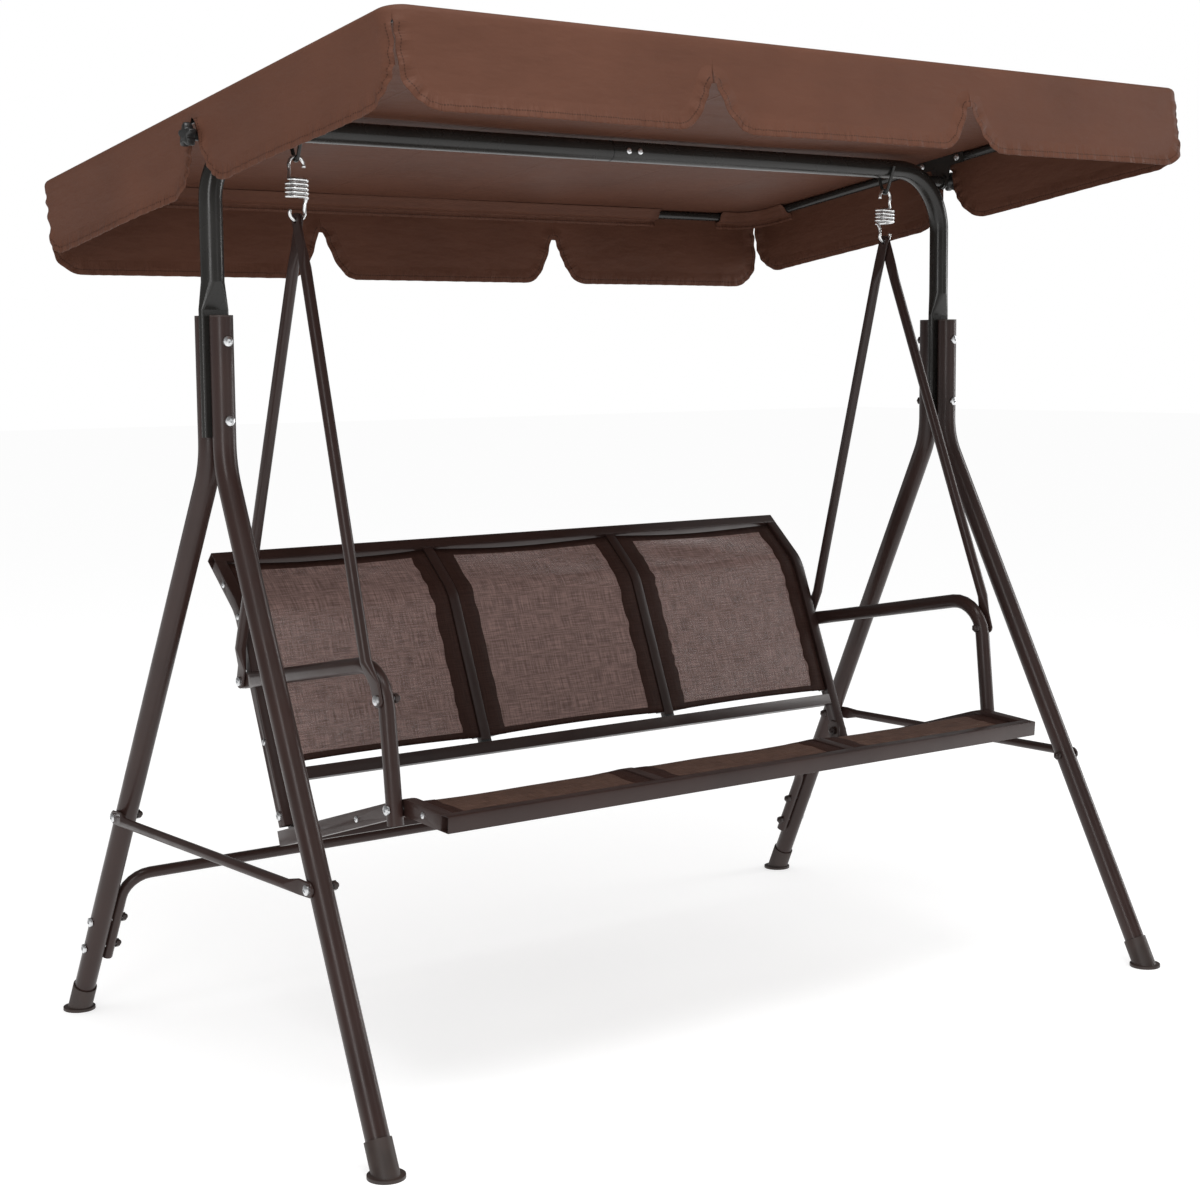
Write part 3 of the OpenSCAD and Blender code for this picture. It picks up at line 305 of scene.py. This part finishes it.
bolt_zinc = zinc_plate("bolt_zinc", (0.80, 0.81, 0.82), 0.26)
coat("leg_bolts brace_bolts stretcher_bolts top_bar_screws tilt_bolts arm_bolts rail_screws "
     "back_bolts canopy_bolts", bolt_zinc)
coat("stand_nuts seat_nuts", powder_coat("nut_coat", (0.030, 0.020, 0.018), 0.3), 0.0004)

# ---------------------------------------------------------------- coil springs
# Close-wound tension springs of 5.5 mm wire, bright zinc plated, with an open hook at
# each end. They stretch between the stand's eyes and the hangers when the seat bounces.
wire = 0.0055
hook_r = 0.013
coil_r = (0.037 - wire) / 2
spring_x = 0.628
swing_h = 1.41028
spring_long = 0.096
turns = 4.5
coil_pitch = wire + 0.0008


def swept_mesh(name, points, radius, sides=14):
    """A round wire through points, with its rings carried along so that they don't twist."""
    points = [Vector(p) for p in points]
    verts, side = [], Vector((0, 1, 0))
    for i, p in enumerate(points):
        along = (points[min(i + 1, len(points) - 1)] - points[max(i - 1, 0)]).normalized()
        side = (side - side.dot(along) * along).normalized()
        other = along.cross(side)
        for k in range(sides):
            a = 2 * pi * k / sides
            verts.append(p + radius * (cos(a) * side + sin(a) * other))
    faces = ring_faces(len(points), sides)
    faces.append(tuple(range(sides))[::-1])
    faces.append(tuple((len(points) - 1) * sides + k for k in range(sides)))
    mesh = bpy.data.meshes.new(name)
    mesh.from_pydata(verts, [], faces)
    mesh.shade_smooth()
    piece = bpy.data.objects.new(name, mesh)
    bpy.context.scene.collection.objects.link(piece)
    return piece


def spring_line():
    hook_top = swing_h - hook_r
    hook_low = swing_h - spring_long + hook_r
    middle = swing_h - spring_long / 2
    coil_top = middle + turns * coil_pitch / 2
    line = [(hook_r * cos(radians(a)), 0, hook_top + hook_r * sin(radians(a)))
            for a in range(195, -16, -10)]
    line += [(hook_r * 0.95, 0.0006, (hook_top + coil_top) / 2 - 0.001),
             (coil_r * 0.95, 0.002, coil_top + 0.0016)]
    for i in range(1, int(24 * turns)):
        a = radians(15 * i)
        line.append((coil_r * cos(a), coil_r * sin(a), coil_top - coil_pitch * i / 24))
    line += [(-coil_r * 0.95, 0.002, 2 * middle - coil_top - 0.0016),
             (-hook_r * 0.95, 0.0006, (hook_low + 2 * middle - coil_top) / 2 + 0.001)]
    line += [(hook_r * cos(radians(a)), 0, hook_low + hook_r * sin(radians(a)))
             for a in range(165, 376, 10)]
    return line


spring_zinc = zinc_plate("spring_zinc", (0.86, 0.87, 0.87), 0.2)
for word, side in (("left", -1), ("right", 1)):
    turned = [(side * (x + spring_x), side * y, z) for x, y, z in spring_line()]
    coil = swept_mesh("coil_spring_" + word, turned, wire / 2)
    coil.data.materials.append(spring_zinc)
    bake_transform(coil)
    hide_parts("spring_" + word)

# ---------------------------------------------------------------- hangers and armrests
# Four hanger tubes with flattened, punched ends, and two armrests bent from heavier
# tube, all powder coated with the legs.
coat("hanger_front_left hanger_front_right hanger_rear_left hanger_rear_right "
     "armrest_left armrest_right", brown_coat)

# ---------------------------------------------------------------- seat and back frame
# Rectangular tube, welded at the corners and lightly rounded, with two flat bars
# between the slings. Black plastic caps close the bars' lower ends.
coat("seat_front_rail seat_rear_rail seat_side_rail_left seat_side_rail_right seat_bar_left "
     "seat_bar_right back_top_rail back_bottom_rail back_side_rail_left back_side_rail_right "
     "back_bar_left back_bar_right", brown_coat, 0.0009)
black_plastic = moulded("black_plastic", (0.009, 0.009, 0.009), 0.4)
coat("bar_end_caps", black_plastic, 0.0005)
coat("sling_rods", bolt_zinc)

# ---------------------------------------------------------------- slings
# Coated polyester mesh, three pieces across the seat and three across the back. Each
# is wrapped round a flat rod in both side rails and has dark hems along its edges.
bar_w = 0.020
panel_w = (2 * 0.606 - 2 * bar_w) / 3
panel_gap = 0.0003
sheet_high = 0.0055
cloth_t = 0.0009
side_hem = 0.034
hem_rise = 0.0006


def unit(v):
    v = np.asarray(v, float)
    return v / np.linalg.norm(v)


def rounded_path(a, b, c, radius, n=16):
    """A side profile of two straight runs and one bend, as (y, z) points."""
    a, b, c = (np.array(p, float) for p in (a, b, c))
    u, w = unit(b - a), unit(c - b)
    turn = np.arccos(u @ w)
    inward = unit(w - (w @ u) * u)
    middle = b - radius * tan(turn / 2) * u + radius * inward
    bend = [middle + radius * (sin(t) * u - cos(t) * inward) for t in np.linspace(0, turn, n + 1)]
    return np.array([a, *bend, c])


def spread_along(path, s):
    """Points and upward normals of a path at arc lengths s."""
    steps = np.linalg.norm(np.diff(path, axis=0), axis=1)
    run = np.concatenate([[0], np.cumsum(steps)])
    fine = np.linspace(0, run[-1], 600)
    smooth = np.column_stack([np.interp(fine, run, path[:, k]) for k in (0, 1)])
    tangent = np.gradient(smooth, fine, axis=0)
    point = np.column_stack([np.interp(s, fine, smooth[:, k]) for k in (0, 1)])
    way = np.column_stack([np.interp(s, fine, tangent[:, k]) for k in (0, 1)])
    way /= np.linalg.norm(way, axis=1)[:, None]
    return point, np.column_stack([-way[:, 1], way[:, 0]])


def path_length(path):
    return float(np.linalg.norm(np.diff(path, axis=0), axis=1).sum())


def mesh_piece(name, verts, faces, places=None, marks=None):
    """A smooth mesh object. Places gives UV maps in metres, marks each face's material slot."""
    mesh = bpy.data.meshes.new(name)
    mesh.from_pydata([tuple(v) for v in verts], [], faces)
    if places is not None:
        corner = np.empty(len(mesh.loops), np.int32)
        mesh.loops.foreach_get("vertex_index", corner)
        for title, points in places.items():
            layer = mesh.uv_layers.new(name=title)
            layer.data.foreach_set("uv", np.asarray(points, np.float32)[corner].ravel())
    if marks is not None:
        mesh.polygons.foreach_set("material_index", np.asarray(marks, np.int32))
    mesh.shade_smooth()
    piece = bpy.data.objects.new(name, mesh)
    bpy.context.scene.collection.objects.link(piece)
    return piece


def grid_faces(rows, cols):
    return [(a, a + 1, a + 1 + cols, a + cols)
            for r in range(rows - 1) for a in range(r * cols, (r + 1) * cols - 1)]


def worked(tree, a, b, operation="ADD"):
    """One sum, product or other operation on two sockets or numbers."""
    node = tree.nodes.new("ShaderNodeMath")
    node.operation = operation
    for k, value in enumerate((a, b)):
        if isinstance(value, (int, float)):
            node.inputs[k].default_value = value
        else:
            join(tree, value, node.inputs[k])
    return node.outputs[0]


def mesh_weave(name, colour, dark, grain, openness):
    """Coated yarn woven open: slubs along both threads, and light between the threads."""
    material, tree, shader = new_finish(name)
    place = tree.nodes.new("ShaderNodeUVMap")
    place.uv_map = "cloth"
    place = place.outputs["UV"]
    warp = noise(tree, place, 1.0, 2.0, (520, 26, 1))
    weft = noise(tree, place, 1.0, 2.0, (26, 520, 1))
    slubs = ramp(tree, worked(tree, warp, weft), 0.0, 1.0, 0.80, 1.24)
    hue = tree.nodes.new("ShaderNodeMix")
    hue.data_type = "RGBA"
    join(tree, slubs, hue.inputs[0])
    hue.inputs[6].default_value = (*dark, 1)
    hue.inputs[7].default_value = (*colour, 1)
    join(tree, hue.outputs[2], shader.inputs["Base Color"])
    join(tree, ramp(tree, noise(tree, place, 90), 0.55, 0.68), shader.inputs["Roughness"])
    shader.inputs["Specular IOR Level"].default_value = 0.12
    axes = tree.nodes.new("ShaderNodeSeparateXYZ")
    join(tree, place, axes.inputs[0])
    threads = [worked(tree, axes.outputs[k], grain / 2, "PINGPONG") for k in (0, 1)]
    if openness:
        edge = grain / 2 * (1 - openness)
        gaps = worked(tree, worked(tree, threads[0], edge, "GREATER_THAN"),
                      worked(tree, threads[1], edge, "GREATER_THAN"), "MULTIPLY")
        join(tree, worked(tree, 1.0, gaps, "SUBTRACT"), shader.inputs["Alpha"])
    round_yarn = ramp(tree, worked(tree, *threads), 1.0, 0.0, 0.0, grain)
    bump(tree, [(round_yarn, 0.00015), (slubs, 0.0001)], shader)
    return material


sling_weave = mesh_weave("sling_weave", (0.330, 0.218, 0.196), (0.150, 0.098, 0.086), 0.0013, 0.46)
# The seat pieces take a darker, closer copy of the same cloth: painted shade, for cloth lying under the
# canopy.
seat_weave_painted_shade = mesh_weave("seat_weave_painted_shade", (0.125, 0.071, 0.052), (0.064, 0.035, 0.026), 0.0013, 0.24)
hem_weave = mesh_weave("hem_weave", (0.042, 0.019, 0.014), (0.028, 0.012, 0.009), 0.0009, 0)

seat_path = rounded_path((-0.384, 0.442), (-0.266, 0.450), (0.110, 0.337), 0.060)
back_foot = np.array([0.098, 0.359])
back_turn = back_foot + 0.363 * np.array([sin(radians(21.4)), cos(radians(21.4))])
back_top = back_turn + 0.122 * np.array([sin(radians(48)), cos(radians(48))])
back_path = rounded_path(back_foot, back_turn, back_top, 0.080)
seat_run = (0.029, path_length(seat_path) - 0.029)
back_run = (0.099, path_length(back_path) - 0.023)


def sling(name, path, run, middle, sag, seed, faces_front):
    """One wrapped panel: from one underside, round a rod, over the face and back under."""
    rng = np.random.default_rng(seed)
    half = panel_w / 2 - panel_gap
    hh = sheet_high
    # one side's wrap, as distance in from the panel's edge and height above the path
    wrap = [(0.036, 0.0033), (0.022, 0.0033), (0.0150, 0.0020), (0.0125, -0.0030), (0.0105, -hh + 0.0006),
            (0.0085, -hh)]
    wrap += [(0.0035 - 0.0035 * sin(a), -0.0020 - 0.0035 * cos(a)) for a in np.linspace(0.0, pi / 2, 5)]
    wrap += [(0.0035 - 0.0035 * cos(a), 0.0020 + 0.0035 * sin(a)) for a in np.linspace(0.0, pi / 2, 5)]
    n_wrap = len(wrap)
    rows, face_cols = 64, 36
    s = np.linspace(run[0], run[1], rows)
    hem_low, hem_high = 0.012, 0.016
    s[1], s[2] = run[0] + hem_low - 0.0012, run[0] + hem_low
    s[-2], s[-3] = run[1] - hem_high + 0.0012, run[1] - hem_high
    s[3:-3] = np.linspace(s[2], s[-3], rows - 4)[1:-1]
    left_waves, right_waves = ([(rng.uniform(0.018, 0.09), rng.uniform(0, 6.28), rng.uniform(0.0003, 0.0010))
                                for _ in range(7)] for _ in range(2))
    verts, place, marks = [], [], []
    ripple = [(rng.uniform(-0.3, 0.3), rng.uniform(0.05, 0.16), rng.uniform(0, 6.28),
               rng.uniform(0.0002, 0.0006)) for _ in range(6)]
    for r in range(rows):
        v = (s[r] - run[0]) / (run[1] - run[0])
        wob_l = sum(a * sin(2 * pi * s[r] / w + p) for w, p, a in left_waves)
        wob_r = sum(a * sin(2 * pi * s[r] / w + p) for w, p, a in right_waves)
        left_hem, right_hem = side_hem + wob_l, side_hem + wob_r
        inner = np.linspace(-half + left_hem + 0.0012, half - right_hem - 0.0012, face_cols)
        section = [(-half + d, h) for d, h in wrap]
        section += [(-half + left_hem * 0.5, hh), (-half + left_hem - 0.0008, hh), (-half + left_hem, hh)]
        section += [(x, hh) for x in inner]
        section += [(half - right_hem, hh), (half - right_hem + 0.0008, hh), (half - right_hem * 0.5, hh)]
        section += [(half - d, h) for d, h in wrap[::-1]]
        cols = len(section)
        walked = 0.0
        for c, (x, h) in enumerate(section):
            across = (x + half) / (2 * half)
            bow = 1 - (2 * across - 1) ** 2
            end = max(0.0, 1 - min(v, 1 - v) / 0.22)
            dip = sag * bow * (0.75 + 0.9 * end * end)
            dip += bow * sum(a * sin(2 * pi * (s[r] + t * x) / w + p) for t, w, p, a in ripple)
            hem = c <= n_wrap + 1 or c >= cols - n_wrap - 2 or r <= 1 or r >= rows - 2
            lift = hem_rise if hem and n_wrap <= c < cols - n_wrap else 0.0
            pull = 0.004 * bow * end ** 3 * (1 if v < 0.5 else -1)
            if c:
                walked += sqrt((x - section[c - 1][0]) ** 2 + (h - section[c - 1][1]) ** 2)
            verts.append((middle + x, s[r] + pull, h - dip + lift))
            place.append((walked + 0.37 * seed, s[r] + 0.11 * seed))
    verts = np.array(verts)
    point, up = spread_along(path, verts[:, 1])
    world_points = np.column_stack([verts[:, 0], point[:, 0] + up[:, 0] * verts[:, 2],
                                    point[:, 1] + up[:, 1] * verts[:, 2]])
    for r in range(rows - 1):
        for c in range(cols - 1):
            side_dark = c < n_wrap + 2 or c >= cols - n_wrap - 3
            marks.append(1 if side_dark or r < 2 or r >= rows - 3 else 0)
    piece = mesh_piece(name, world_points, grid_faces(rows, cols), {"cloth": place}, marks)
    # the back pieces keep the cloth's own colour, the seat pieces its darker painted-shade copy
    piece.data.materials.append(sling_weave if faces_front else seat_weave_painted_shade)
    piece.data.materials.append(hem_weave)
    thick = piece.modifiers.new("cloth", "SOLIDIFY")
    thick.thickness = cloth_t
    thick.offset = -1
    wide = max(p[0] for p in place) - min(p[0] for p in place)
    return piece, (round(wide, 3), round(run[1] - run[0], 3))


for row, path, run, sag, seed, front in (("seat", seat_path, seat_run, 0.0030, 11, False),
                                         ("back", back_path, back_run, 0.0024, 21, True)):
    for k, word in enumerate(("left", "middle", "right")):
        centre = (k - 1) * (panel_w + bar_w)
        panel, flat = sling(f"{row}_sling_{word}", path, run, centre, sag, seed + k, front)
        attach(panel, "seat")
        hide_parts(f"{row}_panel_{word}")

# ---------------------------------------------------------------- canopy frame
# Two light tube hoops bolted to a pivoting steel plate on each side, coated with the
# top bar. The plates turn on two long bolts through the stubs on the top bar.
coat("canopy_hoop_front canopy_hoop_rear tilt_plate_left tilt_plate_right", grey_coat)

# ---------------------------------------------------------------- star knobs
# Black moulded knobs with five lobes and a domed face, outside the cover. They screw
# onto the pivot bolts and clamp the plates, so that the canopy keeps its tilt.
pivot_h = 1.432
lobe_depth = 0.0038
around = 80
# rings of (x, radius, share of the lobes), from the hub under the plate to the dimple
knob_rings = ((0.7805, 0.0076, 0), (0.8010, 0.0076, 0), (0.8012, 0.0105, 0.1), (0.8016, 0.0128, 0.6),
              (0.8026, 0.0143, 1), (0.8050, 0.0150, 1), (0.8110, 0.0150, 1), (0.8140, 0.0143, 1),
              (0.8156, 0.0126, 0.8), (0.8163, 0.0100, 0.4), (0.8160, 0.0078, 0), (0.8164, 0.0066, 0),
              (0.8164, 0.0030, 0))
for word, side in (("left", -1), ("right", 1)):
    verts = []
    for x, r, lobes in knob_rings:
        for k in range(around):
            a = 2 * pi * k / around
            deep = r + lobes * lobe_depth * cos(5 * (a - radians(18)))
            verts.append((side * x, deep * cos(a), pivot_h + deep * sin(a)))
    faces = ring_faces(len(knob_rings), around)
    faces.append(tuple((len(knob_rings) - 1) * around + k for k in range(around)))
    faces.append(tuple(range(around))[::-1])
    if side > 0:
        faces = [face[::-1] for face in faces]
    star = mesh_piece("star_knob_" + word, verts, faces)
    star.data.materials.append(black_plastic)
    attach(star, "knob_" + word)
    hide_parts("knob_" + word)

# ---------------------------------------------------------------- canopy cover
# Plain woven polyester, sewn as one roof with a scalloped valance of ten tabs, hemmed
# all round, and drawn over the hoops. A sleeve at the back holds the rear tube.
tilt = radians(8)
hoop_rise = 0.037
cover_top = 0.0468
half_x = 0.8000
front_y, rear_y = -0.5508, 0.5608
fold_r = 0.010
drop, side_drop, rear_drop = 0.143, 0.134, 0.158
notch_apex, corner_r = 0.073, 0.024
slit_top = 0.026
hem_seam = 0.009
roof_mark, fold_mark = 0.5, 0.3


def in_canopy(points):
    """From the canopy's own frame, about its pivots, to the swing's."""
    p = np.asarray(points, float)
    return np.column_stack([p[:, 0], p[:, 1] * cos(tilt) + p[:, 2] * sin(tilt),
                            pivot_h - p[:, 1] * sin(tilt) + p[:, 2] * cos(tilt)])


def polyester(name, colour):
    """Plain weave, soft creases and a stitched hem, which a UV map of edge distances places."""
    material, tree, shader = new_finish(name)
    cloth = tree.nodes.new("ShaderNodeUVMap")
    cloth.uv_map = "cloth"
    cloth = cloth.outputs["UV"]
    edge = tree.nodes.new("ShaderNodeUVMap")
    edge.uv_map = "edge"
    split = tree.nodes.new("ShaderNodeSeparateXYZ")
    join(tree, edge.outputs["UV"], split.inputs[0])
    along, inward = split.outputs[0], split.outputs[1]
    # the seam: a dashed row of darker stitches just in from the edge
    seam = tree.nodes.new("ShaderNodeMath")
    seam.operation = "COMPARE"
    seam.inputs[1].default_value = hem_seam
    seam.inputs[2].default_value = 0.0009
    join(tree, inward, seam.inputs[0])
    dash = ramp(tree, worked(tree, along, 0.0021, "PINGPONG"), 0.0, 1.0, 0.0006, 0.0009)
    stitch = worked(tree, seam.outputs[0], dash, "MULTIPLY")
    near = ramp(tree, inward, 1.0, 0.0, 0.004, 0.026)
    puckers = worked(tree, near, noise(tree, edge.outputs["UV"], 1.0, 2.0, (95, 14, 1)), "MULTIPLY")
    tone = noise(tree, cloth, 5.0, 4.0)
    body = ramp(tree, tone, tuple(0.9 * c for c in colour), tuple(1.1 * c for c in colour))
    thread = tree.nodes.new("ShaderNodeMix")
    thread.data_type = "RGBA"
    join(tree, stitch, thread.inputs[0])
    join(tree, body, thread.inputs[6])
    thread.inputs[7].default_value = (*(0.45 * c for c in colour), 1)
    join(tree, thread.outputs[2], shader.inputs["Base Color"])
    join(tree, ramp(tree, tone, 0.50, 0.60), shader.inputs["Roughness"])
    shader.inputs["Specular IOR Level"].default_value = 0.10
    creases = noise(tree, cloth, 1.0, 3.0, (9, 26, 1))
    # where the cover lay folded in its box: faint straight creases across the roof
    roof = worked(tree, inward, (roof_mark + fold_mark) / 2, "GREATER_THAN")
    flat = tree.nodes.new("ShaderNodeSeparateXYZ")
    join(tree, cloth, flat.inputs[0])
    lines = None
    for k, apart in ((0, 0.133), (1, 0.19)):
        wander = worked(tree, flat.outputs[k], worked(tree, noise(tree, cloth, 2.5), 0.03, "MULTIPLY"))
        line = ramp(tree, worked(tree, wander, apart, "PINGPONG"), 1.0, 0.0, 0.0, 0.005)
        lines = worked(tree, lines, line) if lines else line
    heights = [(creases, 0.0040), (puckers, 0.0055), (worked(tree, lines, roof, "MULTIPLY"), 0.0010)]
    for direction in ("X", "Y"):
        band = tree.nodes.new("ShaderNodeTexWave")
        band.bands_direction = direction
        band.inputs["Scale"].default_value = 420
        band.inputs["Distortion"].default_value = 0.6
        join(tree, cloth, band.inputs["Vector"])
        heights.append((band.outputs["Fac"], 0.00005))
    bump(tree, heights, shader)
    return material


canopy_cloth = polyester("canopy_cloth", (0.103, 0.043, 0.027))


tab_cols, tab_rows = 72, 24


def tab_columns(a, b):
    """Columns of one tab, closer together near its ends."""
    t = np.linspace(0, 1, tab_cols + 1)
    return a + (b - a) * (t - 0.84 * np.sin(2 * pi * t) / (2 * pi))


def canopy_sheet():
    rng = np.random.default_rng(5)
    thirds = np.linspace(-half_x, half_x, 4)
    xs = np.concatenate([tab_columns(a, b)[:-1] for a, b in zip(thirds[:-1], thirds[1:])] + [[half_x]])
    ys = np.concatenate([tab_columns(front_y, 0.0)[:-1], tab_columns(0.0, rear_y)])
    mid, half_y = (front_y + rear_y) / 2, (rear_y - front_y) / 2
    reach_x, reach_y = half_x - fold_r, half_y - fold_r
    nx, ny = len(xs), len(ys)
    verts, cloth, edge, faces, corner_way = [], [], [], [], {}
    ripples = [(rng.uniform(-5, 5), rng.uniform(8, 16), rng.uniform(0, 6.28), 0.0005) for _ in range(4)]
    ripples += [(rng.uniform(6, 12), rng.uniform(-5, 5), rng.uniform(0, 6.28), 0.0004) for _ in range(4)]
    for j in range(ny):
        for i in range(nx):
            x, y = xs[i] * reach_x / half_x, (ys[j] - mid) * reach_y / half_y
            p, q = abs(x) - (reach_x - corner_r), abs(y) - (reach_y - corner_r)
            if p > 0 and q > 0:
                pull = max(p, q) / sqrt(p * p + q * q)
                corner_way[len(verts)] = unit((p * np.sign(x), q * np.sign(y)))
                x = np.sign(x) * (reach_x - corner_r + p * pull)
                y = np.sign(y) * (reach_y - corner_r + q * pull)
            u, w = max(0.0, 1 - (x / reach_x) ** 2), max(0.0, 1 - (y / reach_y) ** 2)
            dip = 0.0066 * u ** 0.6 * w ** 0.75
            dip += (u * w) ** 0.5 * sum(h * sin(kx * x + ky * y + ph) for kx, ky, ph, h in ripples)
            verts.append((x, y + mid, cover_top - dip))
            cloth.append((xs[i], ys[j]))
            edge.append((0.0, roof_mark))
    faces += grid_faces(ny, nx)

    # each side of the valance: its roof columns, outward way, places along it, tabs and drop
    sides = [(list(range(nx)), (0, -1), xs, 3, drop),
             ([j * nx + nx - 1 for j in range(ny)], (1, 0), ys, 2, side_drop),
             ([ny * nx - 1 - i for i in range(nx)], (0, 1), xs[::-1], 3, rear_drop),
             ([(ny - 1 - j) * nx for j in range(ny)], (-1, 0), ys[::-1], 2, side_drop)]
    quarter = fold_r * pi / 2
    for number, (top, out, line, n_tab, low_edge) in enumerate(sides):
        along = (-out[1], out[0])
        run = np.abs(np.asarray(line) - line[0])
        waves = [(rng.uniform(1.2, 3.0), rng.uniform(0, 6.28), rng.uniform(0.0012, 0.0028))
                 for _ in range(3)]

        def hang(col, s, tab):
            """Where the cloth is, s down from the roof's edge at column col, as part of a tab."""
            base, u = verts[top[col]], run[col]
            a, b = run[tab * tab_cols], run[(tab + 1) * tab_cols]
            fall = max(0.0, (s - 0.02) / drop)
            way = np.array(out, float)
            if top[col] in corner_way:
                turn = min(0.45, 0.55 * fall)
                way = unit((1 - turn) * corner_way[top[col]] + turn * way)
            if s < quarter:
                o, d = fold_r * sin(s / fold_r), fold_r * (1 - cos(s / fold_r))
            else:
                o, d = fold_r, fold_r + s - quarter
            ends = min(u - a, b - u)
            o += fall * (0.001 + sum(h * sin(2 * pi * f * u / run[-1] + p) for f, p, h in waves))
            o += 0.004 * fall ** 2 * np.exp(-ends / 0.05) - 0.010 * fall * (1 - fall)
            o += 0.007 * ((u - a) / (b - a) - 0.5) * max(0.0, (s - notch_apex) / drop)
            shift = 0.0
            if n_tab == 2:
                gap = abs(u - run[tab_cols])
                away = 1 if tab else -1
                shift = away * 0.012 * max(0.0, 1 - gap / 0.10) * min(1.0, max(0.0, (s - slit_top) / 0.010))
            return (base[0] + way[0] * o + along[0] * shift,
                    base[1] + way[1] * o + along[1] * shift, base[2] - d)

        rings = [list(top)]
        for s in [*np.linspace(0, quarter, 5)[1:], slit_top]:
            rings.append(list(range(len(verts), len(verts) + len(run))))
            for col in range(len(run)):
                verts.append(hang(col, s, min(col // tab_cols, n_tab - 1)))
                cloth.append((run[col] + 2 * number, s))
                edge.append((run[col], fold_mark))
        for above, below in zip(rings, rings[1:]):
            for k in range(len(run) - 1):
                faces.append((below[k], below[k + 1], above[k + 1], above[k]))

        for tab in range(n_tab):
            first, last = tab * tab_cols, (tab + 1) * tab_cols
            a, b = run[first], run[last]
            parted = (tab == 0 or n_tab == 2, tab == n_tab - 1 or n_tab == 2)

            def depth(u):
                """How far down the tab reaches at u: straight, with a rounded corner at each end."""
                low = low_edge
                for end, open_end, at_slot in ((u - a, parted[0], tab == 1), (b - u, parted[1], tab == 0)):
                    if open_end:
                        wide, high = (0.085, 0.082) if at_slot and n_tab == 2 else (0.062, 0.062)
                        t = min(1.0, max(0.0, 1 - end / wide))
                        low = min(low, low_edge - high * (1 - sqrt(1 - t * t)))
                    else:
                        t = min(1.0, max(0.0, 1 - max(0.0, end - 0.005) / 0.072))
                        low = min(low, low_edge - (low_edge - notch_apex) * t ** 2.5)
                return low

            outline = [(run[k], depth(run[k])) for k in range(first, last + 1)]
            outline = np.array([(a, slit_top)] * parted[0] + outline + [(b, slit_top)] * parted[1])
            lower, step = outline[:-1], np.diff(outline, axis=0)
            step_long = np.linalg.norm(step, axis=1)
            walked = np.concatenate([[0], np.cumsum(step_long)])
            previous = rings[-1][first:last + 1]
            for r in range(1, tab_rows + 1):
                t = 1 - (1 - r / tab_rows) ** 1.25
                row = list(range(len(verts), len(verts) + tab_cols + 1))
                for col in range(first, last + 1):
                    u = run[col]
                    s = slit_top + (depth(u) - slit_top) * t
                    part = (((u, s) - lower) * step).sum(1) / np.maximum(step_long ** 2, 1e-12)
                    part = np.clip(part, 0, 1)
                    gaps = np.linalg.norm(lower + part[:, None] * step - (u, s), axis=1)
                    k = int(np.argmin(gaps))
                    x, y, z = hang(col, s, tab)
                    walk = walked[k] + part[k] * step_long[k]
                    hem = 0.0008 if gaps[k] < hem_seam + 0.0005 else 0.0
                    gather = sin(2 * pi * walk / 0.027 + 1.9 * sin(2 * pi * walk / 0.13 + tab) + number)
                    hem += 0.0021 * gather * np.exp(-((gaps[k] - 0.007) / 0.011) ** 2)
                    verts.append((x + out[0] * hem, y + out[1] * hem, z))
                    cloth.append((u + 2 * number, s))
                    edge.append((walk + number, float(gaps[k])))
                for k in range(tab_cols):
                    faces.append((row[k], row[k + 1], previous[k + 1], previous[k]))
                previous = row
    return mesh_piece("canopy_sheet", in_canopy(verts), faces, {"cloth": cloth, "edge": edge})


cover = canopy_sheet()
cover.data.materials.append(canopy_cloth)
fix = cover.modifiers.new("weld", "WELD")
fix.merge_threshold = 1e-5
thick = cover.modifiers.new("cloth", "SOLIDIFY")
thick.thickness = 0.0008
thick.offset = -1
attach(cover, "canopy")


def sleeve(name, x_from, x_to, side, depth_to):
    """A strip of the cover's cloth under the rear tube, round one corner of the hoop."""
    section = [(-0.021, 0.0075), (-0.0135, 0.0035), (-0.0108, -0.001), (-0.0085, -0.0065),
               (-0.004, -0.0097), (0.001, -0.0102), (0.0055, -0.0108), (0.0074, -0.013),
               (0.0076, -0.017), (0.0077, -0.023)]
    tube_x, tube_y, bend = 0.7902, 0.551, 0.060
    route = [(side * tube_x, y, side, 0) for y in np.linspace(depth_to, tube_y - bend, 5)]
    for a in np.linspace(0, pi / 2, 9)[1:]:
        route.append((side * (tube_x - bend + bend * cos(a)), tube_y - bend + bend * sin(a),
                      side * cos(a), sin(a)))
    far = x_to if side < 0 else x_from
    steps = max(3, int(abs(far - side * (tube_x - bend)) / 0.025))
    route += [(x, tube_y, 0, 1) for x in np.linspace(side * (tube_x - bend), far, steps)[1:]]
    rng = np.random.default_rng(3)
    verts, place, walked, last = [], [], 0.0, None
    for x, y, ox, oy in route:
        walked += 0 if last is None else sqrt((x - last[0]) ** 2 + (y - last[1]) ** 2)
        last = (x, y)
        crumple = rng.uniform(-0.0006, 0.0006)
        for k, (o, h) in enumerate(section):
            slack = crumple * sin(pi * k / (len(section) - 1))
            verts.append((x + ox * (o - slack), y + oy * (o - slack), hoop_rise + h - slack))
            place.append((walked + 9, 0.006 * k))
    piece = mesh_piece(name, in_canopy(verts), grid_faces(len(route), len(section)),
                       {"cloth": place, "edge": [(u, 0.058 - v) for u, v in place]})
    piece.data.materials.append(canopy_cloth)
    cloth_thick = piece.modifiers.new("cloth", "SOLIDIFY")
    cloth_thick.thickness = 0.0006
    cloth_thick.offset = 0
    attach(piece, "canopy")


sleeve("rear_sleeve_long", -0.73, 0.525, -1, 0.44)
sleeve("rear_sleeve_corner", 0.69, 0.73, 1, 0.44)
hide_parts("canopy_cover")
